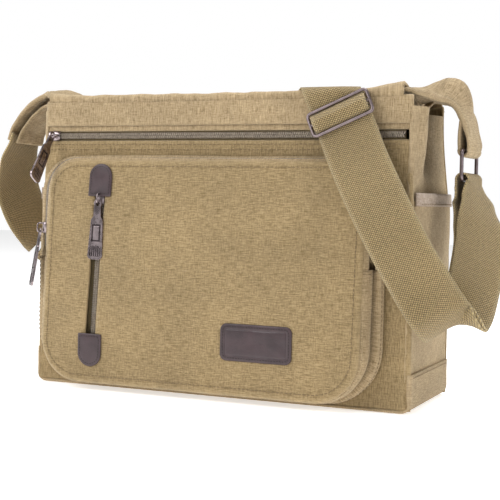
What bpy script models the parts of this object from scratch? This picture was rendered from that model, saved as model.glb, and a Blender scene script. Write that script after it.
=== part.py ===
"""Canvas messenger bag: body panels, organiser pocket, four zips, leather trim and a webbing shoulder strap.

Metres, +Z up. The front faces -Y and +X is to the right of somebody who looks at the front.
The origin is the middle of the base, on the surface that the bag stands on.
"""

import math

import bmesh
import bpy
from mathutils import Matrix, Vector

# Driving dimensions ---------------------------------------------------------------------------------------

BODY_WIDTH = 0.340
BODY_DEPTH = 0.116
BODY_HEIGHT = 0.249  # top of the canvas at the long edges of the top
CANVAS = 0.002  # outer canvas with its backing
LINING = 0.0010
GAP = 0.0003  # between pieces that touch

HALF_WIDTH = BODY_WIDTH / 2
HALF_DEPTH = BODY_DEPTH / 2
FRONT_TOP = 0.2465  # where the front and back panels meet the top panels
GUSSET_TOP = 0.2393
PINCH = 0.038  # how far the middle of each gusset is tucked in at the top
PINCH_START = 0.172
PINCH_Y = 0.006  # the fold's middle, a little behind the bag's own
PINCH_REACH = 0.021  # how far the fold spreads to the front and back
DRAWN_IN = 0.006  # how much nearer each side is at the top than low down
DRAW_LOW = 0.100
DRAW_HIGH = 0.235

TAPE_THICK = 0.0008
TAPE_WIDTH = 0.0065
CHAIN_WIDTH = 0.0044
CHAIN_THICK = 0.0024
ZIP_WINDOW = 0.011  # opening in the canvas that shows the chain
TAPE_BEHIND = CANVAS + GAP + TAPE_THICK / 2  # from the canvas face in to the middle of the tape

FRONT_ZIP_Z = 0.2175
FRONT_ZIP_HALF = 0.1612
TOP_ZIP_Z = 0.2415
TOP_ZIP_HALF = 0.150

POCKET_LEFT = -0.152
POCKET_RIGHT = 0.135
POCKET_LOW = 0.008
POCKET_HIGH = 0.196
POCKET_TOP_RADIUS = 0.026
POCKET_LOW_RADIUS = 0.036
POCKET_TOP_Y = -0.0695  # outer face of the pocket panel at its top edge
POCKET_LOW_Y = -0.0825
POCKET_FLARE = 0.013  # how much wider the pocket is where it meets the body
POCKET_HEM_Z = 0.112  # where the pocket's gusset ends and its zip begins
POCKET_CHAIN = (0.36, 0.62)  # where its chain lies, as shares of the way from the panel to the body
TAPE_CLEAR = 0.12  # share of the way left free beside that chain for the slider
POCKET_SLIDER_Z = 0.137
EDGE_ROOM = 0.0010  # from the edge of a slanting strip's middle to the panel that it meets

PATCH_ZIP_TOP = (-0.1003, 0.1735)
PATCH_ZIP_LOW = (-0.1022, 0.0405)

WEBBING = 0.046
WEB_THICK = 0.0015
EAR_WIDTH = 0.045
EAR_ROOT = 0.112  # width where each ear leaves the top
RING_WIRE = 0.0015  # radius
RING_X = 0.199
RING_TOP_Z = 0.2065
RING_LOW_Z = 0.1835
RING_INNER = 0.0482

RING_WRAP = 0.0052  # from the ring's bar to the middle of the webbing that goes round it
LAYER_APART = 0.0024  # between the middles of the strap's two layers

GLIDE_CENTRE = (0.1120, -0.0675, 0.2335)
GLIDE_LEAN = math.radians(25)  # the strap's lean from the vertical where it passes the glide
GLIDE_HALF = 0.0098  # from the middle bar to each end bar
GLIDE_WIRE = 0.0013

COLOURS = {
    "canvas": ((0.45, 0.35, 0.20), 0.85, 0.0),
    "lining": ((0.16, 0.15, 0.13), 0.80, 0.0),
    "tape": ((0.30, 0.25, 0.15), 0.80, 0.0),
    "chain": ((0.13, 0.11, 0.10), 0.40, 0.7),
    "leather": ((0.075, 0.045, 0.045), 0.50, 0.0),
    "metal": ((0.20, 0.18, 0.19), 0.28, 1.0),
    "webbing": ((0.42, 0.36, 0.18), 0.88, 0.0),
    "board": ((0.10, 0.10, 0.10), 0.70, 0.0),
}

# Scene and small helpers ----------------------------------------------------------------------------------


def clear_scene():
    for obj in list(bpy.data.objects):
        bpy.data.objects.remove(obj, do_unlink=True)


def new_collection(name):
    made = bpy.data.collections.new(name)
    bpy.context.scene.collection.children.link(made)
    return made


def new_material(name, colour, roughness, metallic):
    made = bpy.data.materials.new(name)
    made.use_nodes = True
    shader = made.node_tree.nodes["Principled BSDF"]
    shader.inputs["Base Color"].default_value = (*colour, 1.0)
    shader.inputs["Roughness"].default_value = roughness
    shader.inputs["Metallic"].default_value = metallic
    return made


def add_object(name, data, material, matrix=None, parent=None):
    obj = bpy.data.objects.new(name, data)
    PARTS.objects.link(obj)
    data.materials.append(MATERIALS[material])
    if parent is not None:
        obj.parent = parent
    if matrix is not None:
        obj.matrix_basis = matrix
    return obj


def add_empty(name, matrix):
    obj = bpy.data.objects.new(name, None)
    obj.empty_display_size = 0.01
    obj.matrix_basis = matrix
    PARTS.objects.link(obj)
    return obj


def mesh_from(name, bm):
    mesh = bpy.data.meshes.new(name)
    bm.to_mesh(mesh)
    bm.free()
    return mesh


def box(name, low, high, material, matrix=None, parent=None):
    """A plain block between two corners."""
    bm = bmesh.new()
    bmesh.ops.create_cube(bm, size=1.0)
    size = Vector(high) - Vector(low)
    middle = (Vector(high) + Vector(low)) / 2
    bmesh.ops.scale(bm, vec=size, verts=bm.verts)
    bmesh.ops.translate(bm, vec=middle, verts=bm.verts)
    return add_object(name, mesh_from(name, bm), material, matrix, parent)


def sheet(name, surface, u_steps, v_steps, thickness, material, offset=0.0, parent=None, matrix=None):
    """Cloth of even thickness on surface(u, v), where u and v run from 0 to 1."""
    bm = bmesh.new()
    rows = []
    for i in range(u_steps + 1):
        rows.append([bm.verts.new(surface(i / u_steps, j / v_steps)) for j in range(v_steps + 1)])
    for i in range(u_steps):
        for j in range(v_steps):
            bm.faces.new((rows[i][j], rows[i + 1][j], rows[i + 1][j + 1], rows[i][j + 1]))
    obj = add_object(name, mesh_from(name, bm), material, matrix, parent)
    shell = obj.modifiers.new("cloth", "SOLIDIFY")
    shell.thickness = thickness
    shell.offset = offset
    return obj


def arc(centre, radius, start, stop, steps):
    """Points on an arc in a plane, in degrees."""
    points = []
    for i in range(steps + 1):
        angle = math.radians(start + (stop - start) * i / steps)
        points.append((centre[0] + radius * math.cos(angle), centre[1] + radius * math.sin(angle)))
    return points


def rounded(left, right, low, high, low_radius, high_radius, steps=5):
    """A rectangle with rounded corners, anticlockwise from the lower right."""
    outline = arc((right - low_radius, low + low_radius), low_radius, -90, 0, steps)
    outline += arc((right - high_radius, high - high_radius), high_radius, 0, 90, steps)
    outline += arc((left + high_radius, high - high_radius), high_radius, 90, 180, steps)
    outline += arc((left + low_radius, low + low_radius), low_radius, 180, 270, steps)
    return outline


def plate(name, outlines, thickness, material, matrix=None, parent=None):
    """A flat piece cut to the first outline, with the others as holes. It lies in its own XY plane."""
    curve = bpy.data.curves.new(name, "CURVE")
    curve.dimensions = "2D"
    curve.fill_mode = "BOTH"
    curve.extrude = thickness / 2
    for outline in outlines:
        spline = curve.splines.new("POLY")
        spline.points.add(len(outline) - 1)
        for point, (x, y) in zip(spline.points, outline):
            point.co = (x, y, 0, 1)
        spline.use_cyclic_u = True
    return add_object(name, curve, material, matrix, parent)


def wire(name, points, radius, material, closed=False, matrix=None, parent=None):
    """Round wire along a run of points."""
    curve = bpy.data.curves.new(name, "CURVE")
    curve.dimensions = "3D"
    curve.bevel_depth = radius
    curve.bevel_resolution = 2
    curve.use_fill_caps = not closed
    spline = curve.splines.new("POLY")
    spline.points.add(len(points) - 1)
    for point, position in zip(spline.points, points):
        point.co = (*position, 1)
    spline.use_cyclic_u = closed
    return add_object(name, curve, material, matrix, parent)


def to_mesh_object(obj):
    """Turns a curve object into a mesh object with its caps welded, in the same place."""
    bpy.context.view_layer.update()
    graph = bpy.context.evaluated_depsgraph_get()
    mesh = bpy.data.meshes.new_from_object(obj.evaluated_get(graph))
    bm = bmesh.new()
    bm.from_mesh(mesh)
    bmesh.ops.remove_doubles(bm, verts=bm.verts, dist=1e-6)
    bm.to_mesh(mesh)
    bm.free()
    name, parent, basis = obj.name, obj.parent, obj.matrix_basis.copy()
    bpy.data.objects.remove(obj, do_unlink=True)
    made = bpy.data.objects.new(name, mesh)
    PARTS.objects.link(made)
    made.parent = parent
    made.matrix_basis = basis
    return made


def boolean(obj, other, operation):
    """Joins or cuts with another mesh object, which becomes a hidden helper."""
    modifier = obj.modifiers.new(operation.lower(), "BOOLEAN")
    modifier.operation = operation
    modifier.solver = "EXACT"
    modifier.object = other
    for owner in list(other.users_collection):
        owner.objects.unlink(other)
    CUTTERS.objects.link(other)
    other.hide_render = True
    other.display_type = "WIRE"


def smooth_run(stations, spacing=0.007):
    """A smooth run through stations of (point, across), with a point every spacing or less."""
    points = [Vector(point) for point, _ in stations]
    across = [Vector(side).normalized() for _, side in stations]
    run = []
    for i in range(len(points) - 1):
        before = points[max(i - 1, 0)]
        after = points[min(i + 2, len(points) - 1)]
        a, b = points[i], points[i + 1]
        reach = (b - a).length
        lead_in = (b - before).normalized() * reach
        lead_out = (after - a).normalized() * reach
        steps = max(1, math.ceil(reach / spacing))
        for k in range(steps):
            t = k / steps
            position = (
                (2 * t**3 - 3 * t**2 + 1) * a
                + (t**3 - 2 * t**2 + t) * lead_in
                + (3 * t**2 - 2 * t**3) * b
                + (t**3 - t**2) * lead_out
            )
            side = across[i].lerp(across[i + 1], t * t * (3 - 2 * t)).normalized()
            run.append((position, side))
    run.append((points[-1], across[-1]))
    return run


def rows_of(run, width, columns=1):
    """The rows of points of a flat strip along a run of (point, across)."""
    rows = []
    for i, (point, side) in enumerate(run):
        tangent = run[min(i + 1, len(run) - 1)][0] - run[max(i - 1, 0)][0]
        tangent.normalize()
        side = (side - tangent * side.dot(tangent)).normalized()
        rows.append([point + side * width * (k / columns - 0.5) for k in range(columns + 1)])
    return rows


def ribbon(name, rows, thickness, material):
    """A flat strip of cloth through rows of points."""
    bm = bmesh.new()
    made = [[bm.verts.new(point) for point in row] for row in rows]
    for first, second in zip(made, made[1:]):
        for k in range(len(first) - 1):
            bm.faces.new((first[k], second[k], second[k + 1], first[k + 1]))
    obj = add_object(name, mesh_from(name, bm), material)
    shell = obj.modifiers.new("cloth", "SOLIDIFY")
    shell.thickness = thickness
    shell.offset = 0
    return obj


# Body panels ----------------------------------------------------------------------------------------------


def blend_step(low, high, value):
    share = min(max((value - low) / (high - low), 0.0), 1.0)
    return share * share * (3 - 2 * share)


def side_x(z):
    """How far the bag's sides stand from its middle: drawn in towards the top."""
    return HALF_WIDTH - DRAWN_IN * blend_step(DRAW_LOW, DRAW_HIGH, z)


def upright_panel(name, y, low, high):
    steps = 12
    heights = [low + (high - low) * k / steps for k in range(steps + 1)]
    outline = [(side_x(z), z) for z in heights] + [(-side_x(z), z) for z in reversed(heights)]
    plate(name, [outline], CANVAS, "canvas", Matrix.Translation((0, y, 0)) @ Matrix.Rotation(math.pi / 2, 4, "X"))


def make_body():
    outline = rounded(-HALF_WIDTH, HALF_WIDTH, -HALF_DEPTH, HALF_DEPTH, 0.010, 0.010)
    plate("bottom_panel", [outline], CANVAS, "canvas", Matrix.Translation((0, 0, CANVAS / 2)))
    low = CANVAS + GAP
    inset = 0.010
    face = HALF_DEPTH - CANVAS / 2
    window_low = FRONT_ZIP_Z - ZIP_WINDOW / 2
    window_high = FRONT_ZIP_Z + ZIP_WINDOW / 2
    side = HALF_WIDTH
    upright_panel("front_panel", -face, low, window_low)
    upright_panel("front_upper_panel", -face, window_high, FRONT_TOP)
    upright_panel("back_panel", face, low, FRONT_TOP)
    box(
        "base_board",
        (-side + inset, -HALF_DEPTH + inset, low),
        (side - inset, HALF_DEPTH - inset, low + 0.002),
        "board",
    )


def gusset_point(sign, u, v):
    """The gusset's middle surface: u runs from front to back and v upwards."""
    edge = HALF_DEPTH - CANVAS - GAP
    low = CANVAS + GAP
    y = -edge + 2 * edge * u
    z = low + (GUSSET_TOP - low) * v
    tuck = PINCH * blend_step(PINCH_START, GUSSET_TOP + 0.012, z)
    valley = math.exp(-(((y - PINCH_Y) / PINCH_REACH) ** 2))
    return Vector((sign * (side_x(z) - CANVAS / 2 - tuck * valley), y, z))


def make_gussets():
    for label, sign in (("left", -1), ("right", 1)):
        sheet(f"gusset_{label}", lambda u, v, s=sign: gusset_point(s, u, v), 18, 12, CANVAS, "canvas")


def make_side_pockets():
    """Slip pockets on the gussets, standing away from them at the mouth."""
    mouth_z = 0.168
    low_z = 0.034
    stand_off = 0.0072
    half = 0.052

    def surface(sign, u, v):
        y = half * (2 * u - 1)
        z = low_z + (mouth_z - low_z) * v
        belly = math.sin(math.pi * u) ** 0.5 * blend_step(0.0, 0.75, v)
        return Vector((sign * (HALF_WIDTH + GAP + LINING + stand_off * belly), y, z))

    for label, sign in (("left", -1), ("right", 1)):
        sheet(f"side_pocket_{label}", lambda u, v, s=sign: surface(s, u, v), 12, 6, 0.0015, "canvas")


def make_top():
    """Two top panels that slope in to the zip, with corners cut back towards the ears."""
    inner = ZIP_WINDOW / 2
    outer = HALF_DEPTH - 0.001
    corner_cut = 0.020
    rim_z = BODY_HEIGHT - CANVAS / 2
    zip_z = TOP_ZIP_Z + TAPE_THICK / 2 + GAP + CANVAS / 2

    def surface(sign, u, v):
        x = (HALF_WIDTH - DRAWN_IN - 0.003) * (2 * u - 1)
        cut = corner_cut * blend_step(HALF_WIDTH - 0.030, HALF_WIDTH - 0.004, abs(x))
        y = outer - cut + (inner - outer + cut) * v
        sag = blend_step(0.0, 1.0, v)
        return Vector((x, sign * y, rim_z + (zip_z - rim_z) * sag))

    for label, sign in (("front", -1), ("back", 1)):
        sheet(f"top_panel_{label}", lambda u, v, s=sign: surface(s, u, v), 24, 5, CANVAS, "canvas")


def make_linings():
    """The two linings are open bags of thin cloth that narrow upwards, clear of the tucked gussets."""
    low = 0.0060
    top_half, low_half = 0.122, 0.160
    for name, near, far, high in (
        ("front_lining", -0.0530, -0.0385, 0.2060),
        ("main_lining", -0.0370, 0.0545, 0.2320),
    ):
        bm = bmesh.new()
        bmesh.ops.create_cube(bm, size=1.0)
        for vert in bm.verts:
            top = vert.co.z > 0
            x = math.copysign(top_half if top else low_half, vert.co.x)
            vert.co = Vector((x, near if vert.co.y < 0 else far, high if top else low))
        lid = max(bm.faces, key=lambda face: face.calc_center_median().z)
        bmesh.ops.delete(bm, geom=[lid], context="FACES_ONLY")
        obj = add_object(name, mesh_from(name, bm), "lining")
        shell = obj.modifiers.new("cloth", "SOLIDIFY")
        shell.thickness = LINING
        shell.offset = -1


# Zips -----------------------------------------------------------------------------------------------------


def zip_frame(origin, along, outward):
    """A matrix whose X runs along a zip and whose Z points out of its face."""
    x_axis = Vector(along).normalized()
    z_axis = (Vector(outward) - x_axis * Vector(outward).dot(x_axis)).normalized()
    y_axis = z_axis.cross(x_axis)
    matrix = Matrix((x_axis, y_axis, z_axis)).transposed().to_4x4()
    matrix.translation = Vector(origin)
    return matrix


def straight_zip(prefix, matrix, half_length):
    frame = add_empty(f"{prefix}_frame", matrix)
    inner = CHAIN_WIDTH / 2 + GAP
    for label, sign in (("a", 1), ("b", -1)):
        low = (-half_length, min(sign * inner, sign * (inner + TAPE_WIDTH)), -TAPE_THICK / 2)
        high = (half_length, max(sign * inner, sign * (inner + TAPE_WIDTH)), TAPE_THICK / 2)
        box(f"{prefix}_tape_{label}", low, high, "tape", parent=frame)
    reach = half_length - 0.004
    low = (-reach, -CHAIN_WIDTH / 2, -CHAIN_THICK / 2)
    high = (reach, CHAIN_WIDTH / 2, CHAIN_THICK / 2)
    box(f"{prefix}_chain", low, high, "chain", parent=frame)


SLIDER_TOP = 0.0027  # height of the slider's plate above the tape
BAIL_BAR = 0.0081  # height of the bail's bar above the tape
BAIL_REACH = 0.0040
BAIL_RADIUS = 0.0007
EYE_OUTER = 0.0039
EYE_INNER = 0.0021
PULL_THICK = 0.0018
PULL_LENGTH = 0.0475  # from the eye's middle to the tip
PULL_TIP = 0.0073  # half width at the tip
PULL_EDGE = ((0.0070, 0.0036), (0.0110, 0.0038), (0.0140, 0.0058))  # along the pull and half width
FLAT_PIVOT = (0.0013, 0.0053)  # along the zip and above it, where a pull that lies along the zip turns


def make_slider(name, matrix):
    """A slider that rides over the front of the chain, with its bail."""
    half = 0.0040
    wall = 0.0012
    inner = CHAIN_WIDTH / 2 + 0.0004
    foot = TAPE_THICK / 2 + GAP
    section = [
        (-half, foot),
        (-inner, foot),
        (-inner, SLIDER_TOP - wall),
        (inner, SLIDER_TOP - wall),
        (inner, foot),
        (half, foot),
        (half, SLIDER_TOP),
        (-half, SLIDER_TOP),
    ]
    turn = Matrix.Rotation(math.radians(90), 4, "Z") @ Matrix.Rotation(math.radians(90), 4, "X")
    body = to_mesh_object(plate(name, [section], 0.0096, "metal", matrix @ turn))
    foot_z = SLIDER_TOP - 0.0004
    points = [(-BAIL_REACH, 0, foot_z), (-BAIL_REACH, 0, BAIL_BAR - 0.0010)]
    points += [(-BAIL_REACH + 0.0010, 0, BAIL_BAR), (BAIL_REACH - 0.0010, 0, BAIL_BAR)]
    points += [(BAIL_REACH, 0, BAIL_BAR - 0.0010), (BAIL_REACH, 0, foot_z)]
    bail = to_mesh_object(wire(f"{name}_bail", points, BAIL_RADIUS, "metal", matrix=matrix))
    boolean(body, bail, "UNION")
    return body


def make_pull(name, matrix):
    """A tapered pull. Its eye's middle is its own origin and it hangs along its own -X, thick along its Z."""
    outline = arc((0, 0), EYE_OUTER, -120, 120, 10)
    corner = 0.0020
    tip = PULL_LENGTH - corner
    outline += [(-x, y) for x, y in PULL_EDGE]
    outline += arc((-tip, PULL_TIP - corner), corner, 90, 180, 3)
    outline += arc((-tip, corner - PULL_TIP), corner, 180, 270, 3)
    outline += [(-x, -y) for x, y in reversed(PULL_EDGE)]
    hole = arc((0, 0), EYE_INNER, 0, 330, 11)
    return plate(name, [outline, hole], PULL_THICK, "metal", matrix)


def slider_and_flat_pull(prefix, matrix, pull_lean=0.0):
    """A slider whose pull lies along the zip, towards the frame's +X, turned outwards by pull_lean."""
    slider = make_slider(f"{prefix}_slider", matrix)
    pivot = matrix @ Vector((FLAT_PIVOT[0], 0, FLAT_PIVOT[1]))
    turned = matrix.to_3x3().to_4x4() @ Matrix.Rotation(-pull_lean, 4, "Y") @ Matrix.Rotation(math.pi, 4, "Z")
    holder = add_empty(f"{prefix}_pull_pivot", Matrix.Translation(pivot) @ turned)
    eye_shift = (EYE_OUTER + EYE_INNER) / 2
    pull = make_pull(f"{prefix}_pull", Matrix.Translation((-eye_shift, 0, 0)))
    pull.parent = holder
    return slider, pull


def make_front_zip():
    y = -HALF_DEPTH + TAPE_BEHIND
    matrix = zip_frame((0, y, FRONT_ZIP_Z), (1, 0, 0), (0, -1, 0))
    straight_zip("front_zip", matrix, FRONT_ZIP_HALF)
    slider = zip_frame((-FRONT_ZIP_HALF + 0.0058, y, FRONT_ZIP_Z), (1, 0, 0), (0, -1, 0))
    make_slider("front_zip_slider", slider)
    pivot = slider @ Vector((0, 0, BAIL_BAR))
    lean = math.radians(34)
    down = Vector((0, -math.sin(lean), -math.cos(lean)))
    thick = Vector((1, 0, 0))
    width = thick.cross(-down)
    hang = Matrix((-down, width, thick)).transposed().to_4x4()
    hang.translation = pivot
    make_pull("front_zip_pull", hang)


def make_top_zip():
    matrix = zip_frame((0, 0, TOP_ZIP_Z), (1, 0, 0), (0, 0, 1))
    straight_zip("top_zip", matrix, TOP_ZIP_HALF)
    slider = zip_frame((-TOP_ZIP_HALF + 0.012, 0, TOP_ZIP_Z), (1, 0, 0), (0, 0, 1))
    slider_and_flat_pull("top_zip", slider)


# Organiser pocket -----------------------------------------------------------------------------------------


def pocket_matrix():
    """The pocket panel's plane: X to the right, Y up the panel, Z out of its face."""
    up = Vector((0, POCKET_TOP_Y - POCKET_LOW_Y, POCKET_HIGH - POCKET_LOW)).normalized()
    out = Vector((1, 0, 0)).cross(up)
    matrix = Matrix((Vector((1, 0, 0)), up, out)).transposed().to_4x4()
    matrix.translation = Vector((0, POCKET_LOW_Y, POCKET_LOW))
    return matrix


def pocket_face_y(z):
    share = (z - POCKET_LOW) / (POCKET_HIGH - POCKET_LOW)
    return POCKET_LOW_Y + (POCKET_TOP_Y - POCKET_LOW_Y) * share


def pocket_outline(grow):
    return rounded(
        POCKET_LEFT - grow,
        POCKET_RIGHT + grow,
        POCKET_LOW,
        POCKET_HIGH + grow * 0.15,
        POCKET_LOW_RADIUS + grow * 0.5,
        POCKET_TOP_RADIUS + grow * 0.5,
        8,
    )


def resample(points, count):
    """Evenly spaced points along an open run of points."""
    lengths = [0.0]
    for a, b in zip(points, points[1:]):
        lengths.append(lengths[-1] + math.dist(a, b))
    made = []
    k = 0
    for i in range(count + 1):
        target = lengths[-1] * i / count
        while k < len(points) - 2 and lengths[k + 1] < target:
            k += 1
        share = (target - lengths[k]) / (lengths[k + 1] - lengths[k])
        made.append(tuple(p + (q - p) * share for p, q in zip(points[k], points[k + 1])))
    return made


def outline_runs(grow):
    """The outline's lower run and upper run, cut at the hem height. Both go from left to right."""
    outline = pocket_outline(grow)
    lower_right, upper_right, upper_left, lower_left = (outline[i * 9 : i * 9 + 9] for i in range(4))
    left_hem = (POCKET_LEFT - grow, POCKET_HEM_Z)
    right_hem = (POCKET_RIGHT + grow, POCKET_HEM_Z)
    lower = [left_hem, *lower_left, *lower_right, right_hem]
    upper = [left_hem, *upper_left[::-1], *upper_right[::-1], right_hem]
    return lower, upper


def strip_surface(which, near, far, shrink=0.0012, end_trim=0.0):
    """A strip between the pocket panel (0) and the body (1), following the lower run (0) or the upper (1)."""
    count = 72
    panel = resample(outline_runs(-shrink)[which], count)
    body = resample(outline_runs(POCKET_FLARE)[which], count)

    def surface(u, v):
        depth = near + (far - near) * v
        step = (end_trim + (1 - 2 * end_trim) * u) * count
        i = min(int(step), count - 1)
        share = step - i
        px, pz = (p + (q - p) * share for p, q in zip(panel[i], panel[i + 1]))
        bx, bz = (p + (q - p) * share for p, q in zip(body[i], body[i + 1]))
        x = px + (bx - px) * depth
        z = pz + (bz - pz) * depth
        panel_y = pocket_face_y(pz) + CANVAS + EDGE_ROOM
        y = panel_y + (-HALF_DEPTH - EDGE_ROOM - panel_y) * depth
        return Vector((x, y, z))

    return surface, count


def make_pocket():
    matrix = pocket_matrix()
    rise = 1 / matrix.col[1].z
    outline = [(x, (z - POCKET_LOW) * rise) for x, z in pocket_outline(0.0)]
    centre = Matrix.Translation((0, 0, -CANVAS / 2))
    panel = to_mesh_object(plate("pocket_panel", [outline], CANVAS, "canvas", matrix @ centre))
    (top_x, top_z), (low_x, low_z) = PATCH_ZIP_TOP, PATCH_ZIP_LOW
    top = Vector((top_x, pocket_face_y(top_z), top_z))
    low = Vector((low_x, pocket_face_y(low_z), low_z))
    out = matrix.col[2].to_3d()
    half = (top - low).length / 2
    face_frame = zip_frame((top + low) / 2, low - top, out)
    window = box(
        "patch_zip_window",
        (-half + 0.004, -ZIP_WINDOW / 2, -0.01),
        (half - 0.004, ZIP_WINDOW / 2, 0.01),
        "canvas",
        face_frame,
    )
    boolean(panel, window, "DIFFERENCE")
    zip_matrix = face_frame @ Matrix.Translation((0, 0, -TAPE_BEHIND))
    straight_zip("patch_zip", zip_matrix, half)
    slider_matrix = zip_matrix @ Matrix.Translation((-half + 0.0105, 0, 0))
    slider_and_flat_pull("patch_zip", slider_matrix)
    leather_trim(face_frame, half, matrix)

    surface, count = strip_surface(0, 0.0, 1.0)
    sheet("pocket_gusset", surface, count, 3, 0.0014, "canvas")
    for name, near, far, thick, cloth in (
        ("pocket_zip_tape_panel", 0.0, POCKET_CHAIN[0] - TAPE_CLEAR, TAPE_THICK, "tape"),
        ("pocket_zip_chain", *POCKET_CHAIN, 0.0018, "chain"),
        ("pocket_zip_tape_body", POCKET_CHAIN[1] + TAPE_CLEAR, 1.0, TAPE_THICK, "tape"),
    ):
        surface, count = strip_surface(1, near, far, end_trim=0.012)
        sheet(name, surface, count, 1, thick, cloth)
    make_pocket_slider()


def make_pocket_slider():
    """The pocket zip's slider, on the straight stretch of zip at the pocket's left side."""
    centres = []
    for z in (POCKET_SLIDER_Z, POCKET_SLIDER_Z - 0.010):
        panel = Vector((POCKET_LEFT, pocket_face_y(z) + CANVAS, z))
        body = Vector((POCKET_LEFT - POCKET_FLARE, -HALF_DEPTH, z))
        centres.append(panel.lerp(body, sum(POCKET_CHAIN) / 2))
    outward = Vector((0, 0, 1)).cross(body - panel)
    matrix = zip_frame(centres[0], centres[1] - centres[0], outward)
    slider_and_flat_pull("pocket_zip", matrix, math.radians(8))


def leather_trim(face_frame, half, panel_matrix):
    """D-shaped leather ends on the patch zip, and the label."""
    thick = 0.0012
    tall = 0.0270
    wide = 0.0215
    radius = wide / 2
    lift = GAP + thick / 2
    for label, sign in (("upper", -1), ("lower", 1)):
        outline = arc((tall - radius, 0), radius, -90, 90, 12) + [(0, radius), (0, -radius)]
        outline = [(sign * x, sign * y) for x, y in outline]
        start = sign * (half - 0.0035)
        place = face_frame @ Matrix.Translation((start, 0, lift))
        plate(f"leather_end_{label}", [outline], thick, "leather", place)
    label_outline = rounded(0.020, 0.0815, 0.0355 - POCKET_LOW, 0.0645 - POCKET_LOW, 0.005, 0.005)
    place = panel_matrix @ Matrix.Translation((0, 0, lift))
    plate("leather_label", [label_outline], thick, "leather", place)


# Ears, ring and strap -------------------------------------------------------------------------------------


def make_ears():
    """Canvas tabs that carry the top past each end of the body. Each is folded back on itself at its tip."""
    across = (0, 1, 0)
    right = [(0.150, 0.2512), (0.164, 0.2535), (0.176, 0.2610), (0.188, 0.2605), (0.1975, 0.2480)]
    right += [(0.2030, 0.2300), (RING_X + 0.0035, RING_TOP_Z + 0.006)]
    loop = 0.0034
    right += arc((RING_X, RING_TOP_Z), loop, 20, -200, 9)
    right += [(RING_X - 0.0030, RING_TOP_Z + 0.010), (RING_X - 0.0015, 0.2300)]
    left = [(-0.150, 0.2512), (-0.164, 0.2530), (-0.180, 0.2590), (-0.196, 0.2580), (-0.2130, 0.2455)]
    left += [(-0.2252, 0.2300), (-0.2306, 0.2160)]
    for label, points in (("right", right), ("left", left)):
        stations = [((x, 0, z), across) for x, z in points]
        rows = []
        for row in rows_of(smooth_run(stations), EAR_WIDTH, 2):
            out = abs(row[1].x)
            wider = 1 + (EAR_ROOT / EAR_WIDTH - 1) * (1 - blend_step(0.150, 0.196, out))
            first = row[1].z > 0.225
            rows.append([row[1] + (point - row[1]) * (wider if first else 1.0) for point in row])
        ribbon(f"ear_{label}", rows, 0.0020, "canvas")
    lining = [(-0.1950, 0.2530), (-0.2090, 0.2415), (-0.2195, 0.2275), (-0.2248, 0.2155)]
    stations = [((x, 0, z), across) for x, z in lining]
    ribbon("ear_left_facing", rows_of(smooth_run(stations), EAR_WIDTH), 0.0016, "canvas")


def make_ring():
    half = RING_INNER / 2 + RING_WIRE
    outline = rounded(-half, half, RING_LOW_Z, RING_TOP_Z, 0.003, 0.003, 3)
    points = [(0, y, z - RING_TOP_Z) for y, z in outline]
    place = Matrix.Translation((RING_X, 0, RING_TOP_Z))
    wire("strap_ring", points, RING_WIRE, "metal", closed=True, matrix=place)


def glide_matrix():
    """The glide's frame: X along the bars, Y up the strap, Z out towards the front."""
    row = strap_over_bag()
    along = (row(0, 0)[-1] - row(0, 0)[0]).normalized()
    up = row(GLIDE_HALF * 0.5, 0)[COLUMNS // 2] - row(-GLIDE_HALF, 0)[COLUMNS // 2]
    out = along.cross(up).normalized()
    matrix = Matrix((along, out.cross(along), out)).transposed().to_4x4()
    matrix.translation = as_station(row(0, 0))[0]
    return matrix


def make_glide():
    matrix = glide_matrix()
    half = WEBBING / 2 + 0.0012 + GLIDE_WIRE
    outline = rounded(-half, half, -GLIDE_HALF, GLIDE_HALF, 0.0024, 0.0024, 4)
    points = [(x, y, 0) for x, y in outline]
    frame = to_mesh_object(wire("glide_frame", points, GLIDE_WIRE, "metal", closed=True, matrix=matrix))
    bar = wire("glide_bar", [(-half, 0, 0), (half, 0, 0)], GLIDE_WIRE, "metal", matrix=matrix)
    boolean(frame, to_mesh_object(bar), "UNION")


# The strap's path over the bag, front to back, as the curve that it bends round. Each point is (y, z).
OVER_BAG = (
    (-0.0870, 0.0900),
    (-0.0900, 0.1180),
    (-0.0890, 0.1480),
    (-0.0790, 0.1900),
    (-0.0710, 0.2180),
    (-0.0675, 0.2335),
    (-0.0642, 0.2480),
    (-0.0625, 0.2525),
    (-0.0570, 0.2545),
    (0.0, 0.2545),
    (0.0570, 0.2545),
    (0.0620, 0.2520),
    (0.0645, 0.2420),
    (0.0665, 0.1900),
    (0.0690, 0.1000),
    (0.0690, 0.0600),
)
COLUMNS = 4  # the strap's strips across its width


def bend_curve():
    """The curve that the strap bends round, as points with their distance up it from the glide."""
    run = smooth_run([((0, y, z), (1, 0, 0)) for y, z in OVER_BAG], 0.002)
    points = [point for point, _ in run]
    distance = [0.0]
    for a, b in zip(points, points[1:]):
        distance.append(distance[-1] + (b - a).length)
    centre = Vector((0, *GLIDE_CENTRE[1:]))
    zero = min(range(len(points)), key=lambda k: (points[k] - centre).length)
    return points, [d - distance[zero] for d in distance]


def on_bend(curve, x, up, out):
    """The point at x across and up along the bend curve, standing out from it."""
    points, distance = curve
    k = next((i for i in range(1, len(points) - 1) if distance[i] > up), len(points) - 1)
    share = (up - distance[k - 1]) / (distance[k] - distance[k - 1])
    tangent = (points[k] - points[k - 1]).normalized()
    place = points[k - 1].lerp(points[k], share)
    return Vector((x, place.y - tangent.z * out, place.z + tangent.y * out))


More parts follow.
